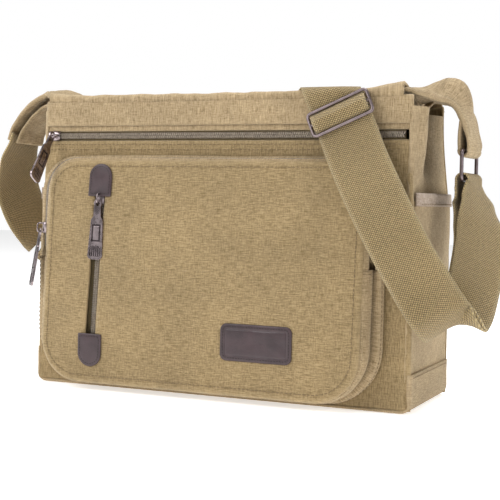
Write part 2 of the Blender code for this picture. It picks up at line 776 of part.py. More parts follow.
def strap_over_bag():
    """Maps (along, across, out) on the webbing to space. Along is 0 at the glide and grows towards the back."""
    curve = bend_curve()
    step = 0.001
    lowest, highest = -0.150, 0.440
    count = int(round((highest - lowest) / step))
    zero = int(round(-lowest / step))

    def lean(along):
        front = math.radians(4.5) * (1 - blend_step(-0.070, -0.015, along))
        back = math.radians(45) * blend_step(0.165, 0.270, along)
        return GLIDE_LEAN + front + back

    places = [None] * (count + 1)
    places[zero] = (GLIDE_CENTRE[0], 0.0)
    for k in range(zero + 1, count + 1):
        angle = lean(lowest + k * step)
        places[k] = (places[k - 1][0] - math.sin(angle) * step, places[k - 1][1] + math.cos(angle) * step)
    for k in range(zero - 1, -1, -1):
        angle = lean(lowest + k * step)
        places[k] = (places[k + 1][0] + math.sin(angle) * step, places[k + 1][1] - math.cos(angle) * step)

    def place(along, across, out):
        k = min(max(int(round((along - lowest) / step)), 0), count)
        x, up = places[k]
        angle = lean(along)
        return on_bend(curve, x + across * math.cos(angle), up + across * math.sin(angle), out)

    def row(along, out):
        return [place(along, WEBBING * (k / COLUMNS - 0.5), out) for k in range(COLUMNS + 1)]

    return row


def interpolate(stations, value):
    """Smooth steps between (key, number) stations."""
    for (a, p), (b, q) in zip(stations, stations[1:]):
        if value <= b:
            return p + (q - p) * blend_step(a, b, value)
    return stations[-1][1]


def as_station(row):
    return ((row[0] + row[-1]) / 2, row[-1] - row[0])


def strap_rows():
    """The webbing's whole run: left ear, up the back and over the bag, glide, hanging loop, ring, and back."""
    row = strap_over_bag()
    layer = WEB_THICK / 2
    under = GLIDE_WIRE + 0.0013 + layer
    wrap = GLIDE_WIRE + 0.0006 + layer
    over = wrap + WEB_THICK + GAP
    middle = -under - LAYER_APART / 2
    back_end, loop_start = 0.370, -0.135

    left = [
        ((-0.2252, 0, 0.2230), (0, 1, 0)),
        ((-0.2278, 0, 0.2160), (0, 1, 0)),
        ((-0.2350, 0.001, 0.1960), (0.18, 0.98, 0)),
        ((-0.2380, 0.006, 0.1680), (0.38, 0.92, -0.05)),
        ((-0.2310, 0.024, 0.1370), (0.42, 0.84, -0.34)),
        ((-0.2150, 0.054, 0.1160), (0.15, 0.55, -0.80)),
        ((-0.1800, 0.0700, 0.1250), (0.25, 0.08, -0.95)),
        as_station(row(back_end, 0)),
    ]
    rows = rows_of(smooth_run(left), WEBBING, COLUMNS)[:-1]
    outs = [
        (loop_start, -under),
        (-GLIDE_HALF, -under),
        (-0.0040, over * 0.55),
        (0.0, over),
        (0.0040, over * 0.55),
        (GLIDE_HALF, -under),
        (0.0240, 0.0),
        (back_end, 0.0),
    ]
    along = back_end
    while along > loop_start:
        rows.append(row(along, interpolate(outs, along)))
        along -= 0.0025 if abs(along) < 0.020 else 0.008
    first = row(loop_start, middle)
    loop = [
        as_station(first),
        ((0.1960, -0.0750, 0.0830), (0.80, 0.45, 0.38)),
        ((0.2020, -0.0580, 0.0730), (0.76, 0.56, 0.33)),
        ((0.2080, -0.0420, 0.0820), (0.74, 0.62, 0.24)),
        ((0.2130, -0.0280, 0.1080), (0.66, 0.74, 0.10)),
        ((0.2120, -0.0130, 0.1400), (0.64, 0.77, 0.00)),
        ((0.2044, -0.0030, 0.1640), (0.30, 0.95, 0.00)),
        ((RING_X, 0, RING_LOW_Z - 0.0040), (0, 1, 0)),
    ]
    middle_run = smooth_run(loop)
    turn = [
        (Vector((x, 0, z)), Vector((0, 1, 0)))
        for x, z in arc((RING_X, RING_LOW_Z), RING_WRAP, 165, 15, 8)
    ]
    around = shifted(middle_run, 1) + turn + shifted(middle_run, -1)[::-1]
    rows += rows_of(around, WEBBING, COLUMNS)
    along = loop_start + 0.008
    while along < -GLIDE_HALF:
        rows.append(row(along, middle - LAYER_APART / 2))
        along += 0.008
    rows.append(row(-GLIDE_HALF, middle - LAYER_APART / 2 + 0.0002))
    for angle in map(math.radians, range(195, -100, -28)):
        rows.append(row(wrap * math.cos(angle), wrap * math.sin(angle)))
    return rows


def shifted(run, sign):
    """One of the two layers of the loop. They part as they come up to the ring."""
    made = []
    for i, (point, side) in enumerate(run):
        tangent = (run[min(i + 1, len(run) - 1)][0] - run[max(i - 1, 0)][0]).normalized()
        normal = tangent.cross(side).normalized()
        share = blend_step(0.70, 1.0, i / (len(run) - 1))
        apart = LAYER_APART / 2 + (RING_WRAP - LAYER_APART / 2) * share
        made.append((point + normal * apart * sign, side))
    return made


def make_strap():
    ribbon("strap_webbing", strap_rows(), WEB_THICK, "webbing")


PARTS = None
CUTTERS = None
MATERIALS = {}


def main():
    global PARTS, CUTTERS
    clear_scene()
    PARTS = new_collection("messenger_bag")
    CUTTERS = new_collection("cutters")
    CUTTERS.hide_render = True
    for name, (colour, roughness, metallic) in COLOURS.items():
        MATERIALS[name] = new_material(name, colour, roughness, metallic)
    make_body()
    make_gussets()
    make_side_pockets()
    make_top()
    make_linings()
    make_front_zip()
    make_top_zip()
    make_pocket()
    make_ears()
    make_ring()
    make_glide()
    make_strap()


main()
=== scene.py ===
"""Looks of the canvas messenger bag: cloth, webbing, leather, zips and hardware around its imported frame.

Metres, +Z up. The front of the bag faces -Y and +X is to the right of somebody who looks at it.
Every cloth piece carries UVs in metres, so that the weaves keep their real scale on all of them.
"""

import math
import random

import bmesh
import bpy
from mathutils import Matrix, Vector, noise


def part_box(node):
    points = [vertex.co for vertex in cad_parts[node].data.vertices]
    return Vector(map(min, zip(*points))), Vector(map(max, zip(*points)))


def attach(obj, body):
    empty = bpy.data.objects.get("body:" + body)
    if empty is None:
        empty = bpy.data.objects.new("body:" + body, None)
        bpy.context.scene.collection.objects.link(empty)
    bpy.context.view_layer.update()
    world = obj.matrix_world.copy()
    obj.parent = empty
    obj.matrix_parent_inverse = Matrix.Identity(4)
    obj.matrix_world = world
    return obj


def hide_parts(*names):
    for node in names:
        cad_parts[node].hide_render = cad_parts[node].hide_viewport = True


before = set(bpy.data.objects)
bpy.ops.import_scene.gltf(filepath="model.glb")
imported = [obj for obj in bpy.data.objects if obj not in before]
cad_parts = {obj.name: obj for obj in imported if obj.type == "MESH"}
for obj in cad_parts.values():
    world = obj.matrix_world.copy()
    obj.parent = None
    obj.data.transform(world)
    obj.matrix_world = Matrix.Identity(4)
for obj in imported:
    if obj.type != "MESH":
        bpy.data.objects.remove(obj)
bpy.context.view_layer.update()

random.seed(7)

# The frame's sizes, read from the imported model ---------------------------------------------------

PANEL_LOW, PANEL_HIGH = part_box("front_panel")
UPPER_LOW, UPPER_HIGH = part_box("front_upper_panel")
POCKET_LOW, POCKET_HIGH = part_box("pocket_panel")
HALF_WIDTH = PANEL_HIGH.x
FRONT = PANEL_LOW.y
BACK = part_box("back_panel")[1].y
SEAM_TOP = UPPER_HIGH.z  # where the front and back meet the top panels
ZIP_Z = (PANEL_HIGH.z + UPPER_LOW.z) / 2

CANVAS = 0.0020
WEB_THICK = 0.0015
WEBBING = 0.046

# Mesh helpers ------------------------------------------------------------------------------------


def step(low, high, value):
    """A smooth step from 0 at low to 1 at high."""
    share = min(max((value - low) / (high - low), 0.0), 1.0)
    return share * share * (3 - 2 * share)


def rough(point, size, seed=0.0):
    """Smooth noise from about -1 to 1, with bumps of that size in metres."""
    return noise.noise(Vector(point) / size + Vector((seed, seed * 1.7, -seed)))


def link(name, data):
    """A new object in the scene."""
    obj = bpy.data.objects.new(name, data)
    bpy.context.scene.collection.objects.link(obj)
    return obj


def new_object(name, mesh, body, material, smooth=True):
    """A visible piece that rides on a body."""
    obj = link(name, mesh)
    mesh.materials.append(material)
    if smooth:
        mesh.shade_smooth()
    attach(obj, body)
    return obj


def finished(name, bm, turn=False):
    """The mesh of a working mesh, with its faces turned outwards if asked."""
    if turn:
        bmesh.ops.recalc_face_normals(bm, faces=bm.faces)
    mesh = bpy.data.meshes.new(name)
    bm.to_mesh(mesh)
    bm.free()
    return mesh


def distances(points):
    """How far along a run of points each of them lies."""
    made = [0.0]
    for first, second in zip(points, points[1:]):
        made.append(made[-1] + (Vector(second) - Vector(first)).length)
    return made


def grid_mesh(name, rows, closed=False):
    """A mesh through rows of points, with UVs in metres along and across the rows."""
    bm = bmesh.new()
    uv = bm.loops.layers.uv.new("UVMap")
    made = [[bm.verts.new(point) for point in row] for row in rows]
    width = len(rows[0])
    along = distances([row[width // 2] for row in rows])
    middle_row = rows[len(rows) // 2]
    across = distances([*middle_row, middle_row[0]])
    for i in range(len(rows) - 1):
        for j in range(width if closed else width - 1):
            k = (j + 1) % width
            corners = ((i, j, j), (i + 1, j, j), (i + 1, k, j + 1), (i, k, j + 1))
            face = bm.faces.new([made[a][b] for a, b, _ in corners])
            for loop, (a, _, c) in zip(face.loops, corners):
                loop[uv].uv = (across[c], along[a])
    return finished(name, bm)


def thicken(obj, thickness):
    """Even thickness, half of it on each side of a sheet."""
    shell = obj.modifiers.new("thickness", "SOLIDIFY")
    shell.thickness = thickness
    shell.offset = 0.0


def cloth(name, rows, material, thickness=CANVAS, body="bag"):
    """A sheet of even thickness through rows of points."""
    obj = new_object(name, grid_mesh(name, rows), body, material)
    thicken(obj, thickness)
    return obj


def close_tube(mesh, sides, ring=False):
    """Fills the open ends of a tube, or joins them if it is a ring."""
    bm = bmesh.new()
    bm.from_mesh(mesh)
    if ring:
        bmesh.ops.remove_doubles(bm, verts=bm.verts, dist=1e-7)
    else:
        bmesh.ops.holes_fill(bm, edges=[e for e in bm.edges if e.is_boundary], sides=sides)
    bmesh.ops.recalc_face_normals(bm, faces=bm.faces)
    bm.to_mesh(mesh)
    bm.free()


def tube(name, points, radius, body, material, up, sides, ring=False, flat=1.0):
    """A tube along a run of points. Flat squeezes it along its up direction."""
    rows = []
    count = len(points)
    angles = [math.tau * k / sides for k in range(sides)]
    for i, point in enumerate(points):
        before = points[i - 1] if ring or i else points[0]
        after = points[(i + 1) % count] if ring or i < count - 1 else points[-1]
        tangent = (after - before).normalized()
        over = (up - tangent * up.dot(tangent)).normalized()
        side = tangent.cross(over)
        wheel = [(radius * math.cos(a), radius * flat * math.sin(a)) for a in angles]
        rows.append([point + side * wide + over * tall for wide, tall in wheel])
    if ring:
        rows.append(rows[0])
    mesh = grid_mesh(name, rows, closed=True)
    close_tube(mesh, sides, ring)
    return new_object(name, mesh, body, material)


def arc(centre, radius, start, stop, count):
    """Points on an arc in a plane, in degrees."""
    angles = [math.radians(start + (stop - start) * i / count) for i in range(count + 1)]
    return [(centre[0] + radius * math.cos(angle), centre[1] + radius * math.sin(angle)) for angle in angles]


def corner_arcs(left, right, low, high, low_radius, high_radius, count):
    """The four corners of a rounded rectangle, anticlockwise from the lower right."""
    return [
        arc((right - low_radius, low + low_radius), low_radius, -90, 0, count),
        arc((right - high_radius, high - high_radius), high_radius, 0, 90, count),
        arc((left + high_radius, high - high_radius), high_radius, 90, 180, count),
        arc((left + low_radius, low + low_radius), low_radius, 180, 270, count),
    ]


def rounded_outline(left, right, low, high, low_radius, high_radius, spacing):
    """An even run of points round a rounded rectangle."""
    count = max(6, int(math.pi / 2 * min(low_radius, high_radius) / spacing) * 2)
    outline = sum(corner_arcs(left, right, low, high, low_radius, high_radius, count), [])
    return resample(outline + outline[:1], spacing)[:-1]


def evenly(points, count):
    """Points that cut an open run of points into that many even steps."""
    lengths = distances(points)
    made = []
    k = 0
    for i in range(count + 1):
        target = lengths[-1] * i / count
        while k < len(points) - 2 and lengths[k + 1] < target:
            k += 1
        made.append(points[k].lerp(points[k + 1], (target - lengths[k]) / (lengths[k + 1] - lengths[k])))
    return made


def resample(points, spacing):
    """Evenly spaced points along an open run of points, ends included."""
    points = [Vector(point) for point in points]
    points = [p for k, p in enumerate(points) if k == 0 or (p - points[k - 1]).length > 1e-9]
    return evenly(points, max(2, round(distances(points)[-1] / spacing)))


def stations(reach):
    """Places every 4 mm across the middle of the bag, up to that many millimetres from it."""
    return [place / 1000 for place in range(-reach, reach + 1, 4)]


def stitches(name, points, outward, kind=None):
    """A row of thread stitches along a run of points, half sunk into the cloth that they hold."""
    thread, slot, length, gap, radius = kind or CANVAS_STITCH
    bm = bmesh.new()
    run = resample(points, length + gap)
    angles = [math.tau * m / STITCH_SIDES for m in range(STITCH_SIDES)]
    for a, b in zip(run, run[1:]):
        along = (b - a).normalized()
        out = Vector(outward).normalized()
        out = (out - along * out.dot(along)).normalized()
        side = along.cross(out)
        middle = a + along * length / 2
        rings = []
        for share, thick in ((-0.5, 0.35), (-0.3, 0.95), (0.0, 1.1), (0.3, 0.95), (0.5, 0.35)):
            centre = middle + along * length * share + out * (radius * (0.6 - 2.2 * share * share))
            rim = [(side * math.cos(angle) + out * math.sin(angle)) * radius * thick for angle in angles]
            rings.append([bm.verts.new(centre + spoke) for spoke in rim])
        join_rings(bm, rings)
    return new_object(name, finished(name, bm, True), "bag", thread)


def join_rings(bm, rings):
    """A closed solid through rings of corners."""
    size = len(rings[0])
    for first, second in zip(rings, rings[1:]):
        for m in range(size):
            n = (m + 1) % size
            bm.faces.new((first[m], first[n], second[n], second[m]))
    bm.faces.new(rings[0][::-1])
    bm.faces.new(rings[-1])


# Materials ---------------------------------------------------------------------------------------


def tint(base, share):
    """A paler or deeper colour of the same kind."""
    return tuple(c * share for c in base)


def opaque(value):
    """A colour with its alpha, or any other value as it is."""
    return (*value, 1.0) if isinstance(value, tuple) and len(value) == 3 else value


class Painter:
    """Short calls for building one node material."""

    def __init__(self, name):
        self.material = bpy.data.materials.new(name)
        self.material.use_nodes = True
        self.tree = self.material.node_tree
        self.shader = self.tree.nodes["Principled BSDF"]

    def plug(self, socket, value):
        if isinstance(value, bpy.types.NodeSocket):
            self.tree.links.new(value, socket)
        elif value is not None:
            socket.default_value = value

    def set(self, **values):
        for name, value in values.items():
            self.plug(self.shader.inputs[name.replace("_", " ")], opaque(value))

    def node(self, kind, output, **values):
        """One output of a new node, with its inputs plugged in."""
        node = self.tree.nodes.new(kind)
        for name, value in values.items():
            self.plug(node.inputs[name.replace("_", " ")], value)
        return node.outputs[output]

    def uv(self, x_scale, y_scale):
        uv = self.node("ShaderNodeUVMap", "UV")
        return self.node("ShaderNodeMapping", "Vector", Vector=uv, Scale=(x_scale, y_scale, 1.0))

    def position(self):
        return self.node("ShaderNodeTexCoord", "Object")

    def tone(self):
        node = self.tree.nodes.new("ShaderNodeAttribute")
        node.attribute_name = "tone"
        return node.outputs["Fac"]

    def split(self, vector):
        node = self.tree.nodes.new("ShaderNodeSeparateXYZ")
        self.plug(node.inputs["Vector"], vector)
        return node.outputs["X"], node.outputs["Y"]

    def math(self, operation, first, second=None):
        node = self.tree.nodes.new("ShaderNodeMath")
        node.operation = operation
        for socket, value in zip(node.inputs, (first, second)):
            self.plug(socket, value)
        return node.outputs["Value"]

    def times(self, first, second):
        return self.math("MULTIPLY", first, second)

    def noise(self, vector, scale=1.0, detail=3.0, roughness=0.5):
        kind = "ShaderNodeTexNoise"
        return self.node(kind, "Fac", Vector=vector, Scale=scale, Detail=detail, Roughness=roughness)

    def spread(self, value, low, high, out_low=0.0, out_high=1.0):
        """Maps a value's range on to another, clamped."""
        limits = {"From_Min": low, "From_Max": high, "To_Min": out_low, "To_Max": out_high}
        return self.node("ShaderNodeMapRange", "Result", Value=value, **limits)

    def mix(self, factor, first, second, blend="MIX"):
        node = self.tree.nodes.new("ShaderNodeMix")
        node.data_type = "RGBA"
        node.blend_type = blend
        for k, value in ((0, factor), (6, first), (7, second)):
            self.plug(node.inputs[k], opaque(value))
        return node.outputs[2]

    def bump(self, height, distance, strength=1.0, normal=None):
        kind = "ShaderNodeBump"
        return self.node(kind, "Normal", Strength=strength, Distance=distance, Height=height, Normal=normal)


def canvas_material(name, base, pitch=0.00115):
    """Washed plain-weave canvas: heathered threads, slubs, mottling, paler folds and edges, and painted shade in
    creases, grooves and hollows.
    """
    paint = Painter(name)
    u, v = paint.split(paint.uv(math.tau / pitch, math.tau / pitch))
    weave = paint.times(paint.math("SINE", u), paint.math("SINE", v))
    weft = paint.noise(paint.uv(130.0, 1150.0), 1.0, 2.0, 0.6)
    warp = paint.noise(paint.uv(1150.0, 150.0), 1.0, 2.0, 0.6)
    fleck = paint.noise(paint.uv(620.0, 800.0), 1.0, 1.0, 0.5)
    wash = paint.noise(paint.position(), 14.0, 5.0, 0.62)
    patch = paint.noise(paint.position(), 46.0, 4.0, 0.6)
    threads = paint.math("ADD", paint.times(weft, 0.62), paint.times(warp, 0.38))
    dark, light, worn = (
        tuple(c * s for c, s in zip(base, shares))
        for shares in ((0.60, 0.57, 0.50), (1.34, 1.36, 1.44), (1.42, 1.48, 1.66))
    )
    colour = paint.mix(paint.spread(threads, 0.35, 0.65), dark, light)
    colour = paint.mix(paint.spread(fleck, 0.60, 0.74, 0.0, 0.55), colour, tint(base, 0.52))
    colour = paint.mix(paint.spread(fleck, 0.40, 0.27, 0.0, 0.50), colour, worn)
    shade = paint.spread(weave, -1.0, 1.0, 0.89, 1.08)
    shade = paint.times(shade, paint.spread(wash, 0.28, 0.72, 0.86, 1.14))
    shade = paint.times(shade, paint.spread(patch, 0.3, 0.7, 0.94, 1.06))
    tone = paint.tone()
    # Tone below 0 darkens the colour as painted shade; tone above 0 pales worn edges.
    shade = paint.times(shade, paint.spread(tone, -1.0, 0.0, 0.40, 1.0))
    colour = paint.mix(paint.spread(tone, 0.0, 1.0, 0.0, 0.62), colour, worn)
    colour = paint.mix(1.0, colour, shade, "MULTIPLY")
    height = paint.math("ADD", paint.times(weave, 0.5), paint.times(threads, 1.4))
    normal = paint.bump(paint.noise(paint.position(), 160.0, 3.0, 0.55), 0.0016, 0.35)
    normal = paint.bump(height, 0.00030, 0.75, normal)
    paint.set(Base_Color=colour, Roughness=paint.spread(threads, 0.35, 0.65, 0.92, 0.80), Normal=normal)
    paint.set(Sheen_Weight=0.25, Sheen_Roughness=0.5, Sheen_Tint=(1.0, 0.90, 0.72), Specular_IOR_Level=0.22)
    return paint.material


def webbing_material():
    """Heavy cotton webbing: rows of slanting nubs with the gaps between them darkened as painted shade, and a firmer
    selvedge.
    """
    paint = Painter("webbing_cotton")
    across, along = 0.00240, 0.00205
    u, v = paint.split(paint.uv(math.pi / across, math.pi / along))
    nub = paint.times(
        paint.math("SINE", paint.math("ADD", u, v)), paint.math("SINE", paint.math("SUBTRACT", u, v))
    )
    nub = paint.math("ABSOLUTE", nub)
    twist = paint.noise(paint.uv(1500.0, 700.0), 1.0, 2.0, 0.6)
    spot = paint.noise(paint.uv(420.0, 480.0), 1.0, 1.0)
    wash = paint.noise(paint.position(), 18.0, 4.0, 0.6)
    height = paint.math("POWER", nub, 0.55)
    # Painted shade: the colour follows the nubs' height, so the gaps between them come out dark.
    lit = paint.math("ADD", paint.times(height, 0.8), paint.times(spot, 0.4))
    colour = paint.mix(paint.spread(lit, 0.34, 0.98), (0.105, 0.073, 0.030), (0.470, 0.345, 0.165))
    colour = paint.mix(paint.spread(twist, 0.62, 0.80, 0.0, 0.5), colour, (0.20, 0.15, 0.07))
    tone = paint.tone()
    colour = paint.mix(paint.spread(tone, 0.0, 1.0, 0.0, 0.55), colour, (0.60, 0.48, 0.27))
    # Tone below 0 darkens the colour as painted shade.
    shade = paint.times(paint.spread(wash, 0.3, 0.7, 0.90, 1.10), paint.spread(tone, -1.0, 0.0, 0.35, 1.0))
    colour = paint.mix(1.0, colour, shade, "MULTIPLY")
    normal = paint.bump(twist, 0.00018, 0.6, paint.bump(height, 0.00085, 0.9))
    paint.set(Base_Color=colour, Roughness=0.9, Normal=normal)
    paint.set(Sheen_Weight=0.2, Sheen_Roughness=0.5, Specular_IOR_Level=0.2)
    return paint.material


def tape_material(name, base):
    """Zip tape: a fine slanting weave."""
    paint = Painter(name)
    u, v = paint.split(paint.uv(math.tau / 0.0009, math.tau / 0.0007))
    weave = paint.math("SINE", paint.math("ADD", u, paint.math("ABSOLUTE", paint.math("SINE", v))))
    fuzz = paint.noise(paint.position(), 900.0, 2.0)
    dark = tint(base, 0.6)
    colour = paint.mix(paint.spread(weave, -1.0, 1.0), dark, tint(base, 1.35))
    colour = paint.mix(paint.spread(fuzz, 0.4, 0.7, 0.0, 0.4), colour, dark)
    # Tone below 0 darkens the colour as painted shade.
    colour = paint.mix(paint.spread(paint.tone(), -1.0, 0.0, 0.8, 0.0), colour, (0.02, 0.016, 0.01))
    paint.set(Base_Color=colour, Roughness=0.88, Specular_IOR_Level=0.25)
    paint.set(Normal=paint.bump(weave, 0.0002, 0.6))
    return paint.material


def thread_material(name, base):
    """Twisted sewing thread."""
    paint = Painter(name)
    fibre = paint.noise(paint.position(), 2200.0, 2.0)
    colour = paint.mix(fibre, tint(base, 0.6), tint(base, 1.3))
    paint.set(Base_Color=colour, Roughness=0.75, Normal=paint.bump(fibre, 0.0001, 0.5))
    return paint.material


def leather_material(name, base, gloss):
    """Smooth waxed leather with fine pores, faint creases and worn edges."""
    paint = Painter(name)
    pores = paint.node("ShaderNodeTexVoronoi", "Distance", Vector=paint.position(), Scale=1500.0)
    crease = paint.noise(paint.position(), 260.0, 5.0, 0.6)
    cloud = paint.noise(paint.position(), 70.0, 3.0)
    tone = paint.tone()
    colour = paint.mix(paint.spread(cloud, 0.3, 0.7), tint(base, 0.72), tint(base, 1.35))
    colour = paint.mix(paint.spread(pores, 0.0, 0.35, 0.35, 0.0), colour, tint(base, 0.4))
    colour = paint.mix(paint.spread(tone, 0.0, 1.0, 0.0, 0.5), colour, tint(base, 2.2))
    # Tone below 0 darkens the colour as painted shade.
    colour = paint.mix(paint.spread(tone, -1.0, 0.0, 0.8, 0.0), colour, tint(base, 0.25))
    normal = paint.bump(pores, 0.00012, 0.5, paint.bump(crease, 0.0006, 0.35))
    paint.set(Base_Color=colour, Roughness=paint.spread(crease, 0.3, 0.7, gloss - 0.08, gloss + 0.14))
    paint.set(Normal=normal, Specular_IOR_Level=0.5)
    return paint.material


def metal_material(name, base, roughness):
    """Gunmetal plating with faint brushing and handling marks."""
    paint = Painter(name)
    smear = paint.noise(paint.position(), 120.0, 4.0, 0.6)
    brushing = (2600.0, 2600.0, 240.0)
    brushed = paint.node("ShaderNodeMapping", "Vector", Vector=paint.position(), Scale=brushing)
    scratch = paint.noise(brushed, 1.0, 2.0)
    colour = paint.mix(paint.spread(smear, 0.35, 0.65), tint(base, 0.78), tint(base, 1.22))
    # Tone below 0 darkens the colour as painted shade.
    colour = paint.mix(paint.spread(paint.tone(), -1.0, 0.0, 0.75, 0.0), colour, (0.02, 0.018, 0.018))
    rubbed = paint.spread(smear, 0.3, 0.7, roughness - 0.06, roughness + 0.10)
    paint.set(Base_Color=colour, Metallic=1.0, Roughness=rubbed, Normal=paint.bump(scratch, 0.00004, 0.5))
    return paint.material


def coil_material():
    """The zip's moulded teeth: a hard, slightly glossy brown-grey."""
    paint = Painter("zip_coil")
    grime = paint.noise(paint.position(), 500.0, 3.0)
    colour = paint.mix(paint.spread(grime, 0.35, 0.7), (0.360, 0.305, 0.240), (0.190, 0.155, 0.120))
    paint.set(Base_Color=colour, Roughness=paint.spread(grime, 0.3, 0.7, 0.26, 0.42), Metallic=0.35)
    paint.set(Normal=paint.bump(grime, 0.0001, 0.3))
    return paint.material


CANVAS_CLOTH = canvas_material("canvas_front", (0.300, 0.216, 0.106))
CANVAS_PALE = canvas_material("canvas_pale", (0.368, 0.272, 0.152))
HEM_CLOTH = canvas_material("canvas_hem", (0.400, 0.315, 0.245), 0.0016)
WEB_CLOTH = webbing_material()
TAPE_CLOTH = tape_material("zip_tape", (0.205, 0.155, 0.080))
THREAD = thread_material("thread_tan", (0.215, 0.150, 0.076))
THREAD_DARK = thread_material("thread_dark", (0.030, 0.020, 0.018))
LEATHER = leather_material("leather_brown", (0.042, 0.0235, 0.0265), 0.36)
METAL = metal_material("gunmetal_gloss", (0.300, 0.250, 0.255), 0.25)
# Near-black metal for the plates in the pull's sunk field and behind its window: painted shade.
METAL_SHADE = metal_material("gunmetal_painted_shade", (0.050, 0.040, 0.042), 0.45)
METAL_SATIN = metal_material("gunmetal_satin", (0.205, 0.165, 0.168), 0.34)
COIL = coil_material()
LINING_CLOTH = tape_material("lining_cloth", (0.060, 0.055, 0.048))

# Each kind of stitching: its thread, its slot, how long and how far apart the stitches are, and their radius.
CANVAS_STITCH = (THREAD, "canvas", 0.0026, 0.0011, 0.00032)
LEATHER_STITCH = (THREAD_DARK, "leather", 0.0017, 0.0007, 0.00026)
STITCH_SIDES = 6

# Cloth shapes ------------------------------------------------------------------------------------


def edge_roll(distance, radius):
    """How far a cloth face falls back near an edge where it rolls into a seam."""
    if distance >= radius:
        return 0.0
    return radius - math.sqrt(max(radius * radius - (radius - distance) ** 2, 0.0))


def spaced(low, high, spacing):
    """Stations from low to high, closer together at both ends, where the cloth rolls into its seams."""
    fine = [0.0, 0.0004, 0.0010, 0.0018, 0.0030, 0.0046]
    start, stop = low + 0.0070, high - 0.0070
    count = max(2, math.ceil((stop - start) / spacing))
    middle = [start + (stop - start) * i / count for i in range(count + 1)]
    return [low + d for d in fine] + middle + [high - d for d in reversed(fine)]


def fade(distance, reach):
    """How much is left of something that dies out with distance."""
    return math.exp(-distance / reach)


def bell(offset, width):
    """A smooth hump, 1 in its middle."""
    return math.exp(-((offset / width) ** 2))


def pucker(along, distance, size=0.009, depth=0.0006, reach=0.010, seed=0.0):
    """Gathering of the cloth beside a stitched seam, dying out away from it."""
    wave = noise.noise(Vector((along / size, seed, distance / (size * 2.5))))
    return depth * wave * fade(max(distance, 0.0), reach)


def set_values(obj, values):
    """The tone of each point in turn: paler worn places above 0, and painted shade in creases, grooves and hollows
    below it.
    """
    layer = obj.data.attributes.new("tone", "FLOAT", "POINT")
    layer.data.foreach_set("value", values)


def set_tone(obj, value_at):
    """The tone of each point by its place."""
    set_values(obj, [value_at(vertex.co) for vertex in obj.data.vertices])


def rumple(point, amount=0.0011, seed=0.0):
    """Soft handling wrinkles: broad dents with smaller ones on them."""
    broad, middle, fine = rough(point, 0.060, seed), rough(point, 0.026, seed + 3.0), rough(point, 0.011, seed + 6.0)
    return amount * (broad + 0.55 * middle + 0.22 * fine)


# Body --------------------------------------------------------------------------------------------

SEAM_ROLL = 0.0028
BASE_BAND = 0.031  # height of the base's band on each gusset
LIP_Z = 0.2268  # lower edge of the flap that covers the front zip's upper side
DRAWN_IN = 0.006  # how far the sides come in between these two heights
DRAW_LOW = 0.100
DRAW_HIGH = 0.235
LOW_EDGE = 0.0030  # lower edge of the front and back cloth
SEAM_LAP = 0.0006  # how far a cloth's edge runs past its seam
FRONT_RUMPLE = 0.0007
FRONT_SEED = 1.0
BACK_SEED = 21.0
REAR_LOW = 0.150  # between these heights the bag narrows towards its back
REAR_HIGH = 0.235
REAR_DROP = 0.0046


def side_x(z, right=False):
    """How far the bag's sides stand from its middle: drawn in towards the top, less so on the right."""
    return HALF_WIDTH - DRAWN_IN * (0.5 if right else 1.0) * step(DRAW_LOW, DRAW_HIGH, z)


def front_point(x, z, low, high, out=0.0, top_roll=0.0012, low_roll=0.0024, seed=FRONT_SEED):
    """The front cloth's middle surface between two heights."""
    side = HALF_WIDTH - abs(x)
    x *= side_x(z, x > 0) / HALF_WIDTH
    y = FRONT + CANVAS / 2 - out
    y += edge_roll(side, SEAM_ROLL) + edge_roll(high - z, top_roll) + edge_roll(z - low, low_roll)
    y -= pucker(z, side, seed=seed) + pucker(x, high - z, seed=seed + 1) + pucker(x, z - low, seed=seed + 2)
    y -= rumple((x, 0, z), FRONT_RUMPLE, seed) * step(0.0, 0.012, side)
    return Vector((x, y, z))


def make_front():
    low, high = LOW_EDGE, PANEL_HIGH.z + SEAM_LAP
    xs = spaced(-HALF_WIDTH, HALF_WIDTH, 0.0030)
    rows = [[front_point(x, z, low, high) for z in spaced(low, high, 0.0032)] for x in xs]
    obj = cloth("front_cloth", rows, CANVAS_CLOTH)
    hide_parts("front_panel")

    def tone(co):
        edge = min(side_x(co.z, co.x > 0) - abs(co.x), co.z - low)
        return 0.55 * fade(edge, 0.0022) + 0.35 * fade(high - co.z, 0.0015)

    set_tone(obj, tone)
    high = SEAM_TOP + SEAM_LAP
    zs = spaced(LIP_Z, high, 0.003)
    rows = [[front_point(x, z, LIP_Z, high, 0.0012, 0.0020, 0.0012, 9.0) for z in zs] for x in xs]
    obj = cloth("front_upper_cloth", rows, CANVAS_PALE, 0.0022)
    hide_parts("front_upper_panel")
    set_tone(obj, lambda co: 0.45 * fade(co.z - LIP_Z, 0.0012) + 0.3 * fade(high - co.z, 0.002))
    low, high = ZIP_Z + 0.0042, LIP_Z + 0.0012
    xs = spaced(-HALF_WIDTH + 0.001, HALF_WIDTH - 0.001, 0.0040)
    zs = [low, low + 0.0004, low + 0.0010, low + 0.0022, high]
    rows = [[front_point(x, z, low, high + 0.01, -0.0006, 0.001, 0.0010, 4.0) for z in zs] for x in xs]
    obj = cloth("front_zip_facing", rows, CANVAS_PALE, 0.0012)
    set_tone(obj, lambda co: 0.35 * fade(co.z - low, 0.0008))


def front_stitches():
    for name, drop in (("stitch_front_low", 0.0022), ("stitch_front_emboss", 0.0066)):
        z = PANEL_HIGH.z - drop
        points = [(x, FRONT - 0.0001 - rumple((x, 0, z), FRONT_RUMPLE, FRONT_SEED), z) for x in stations(160)]
        stitches(name, points, (0, -1, 0))


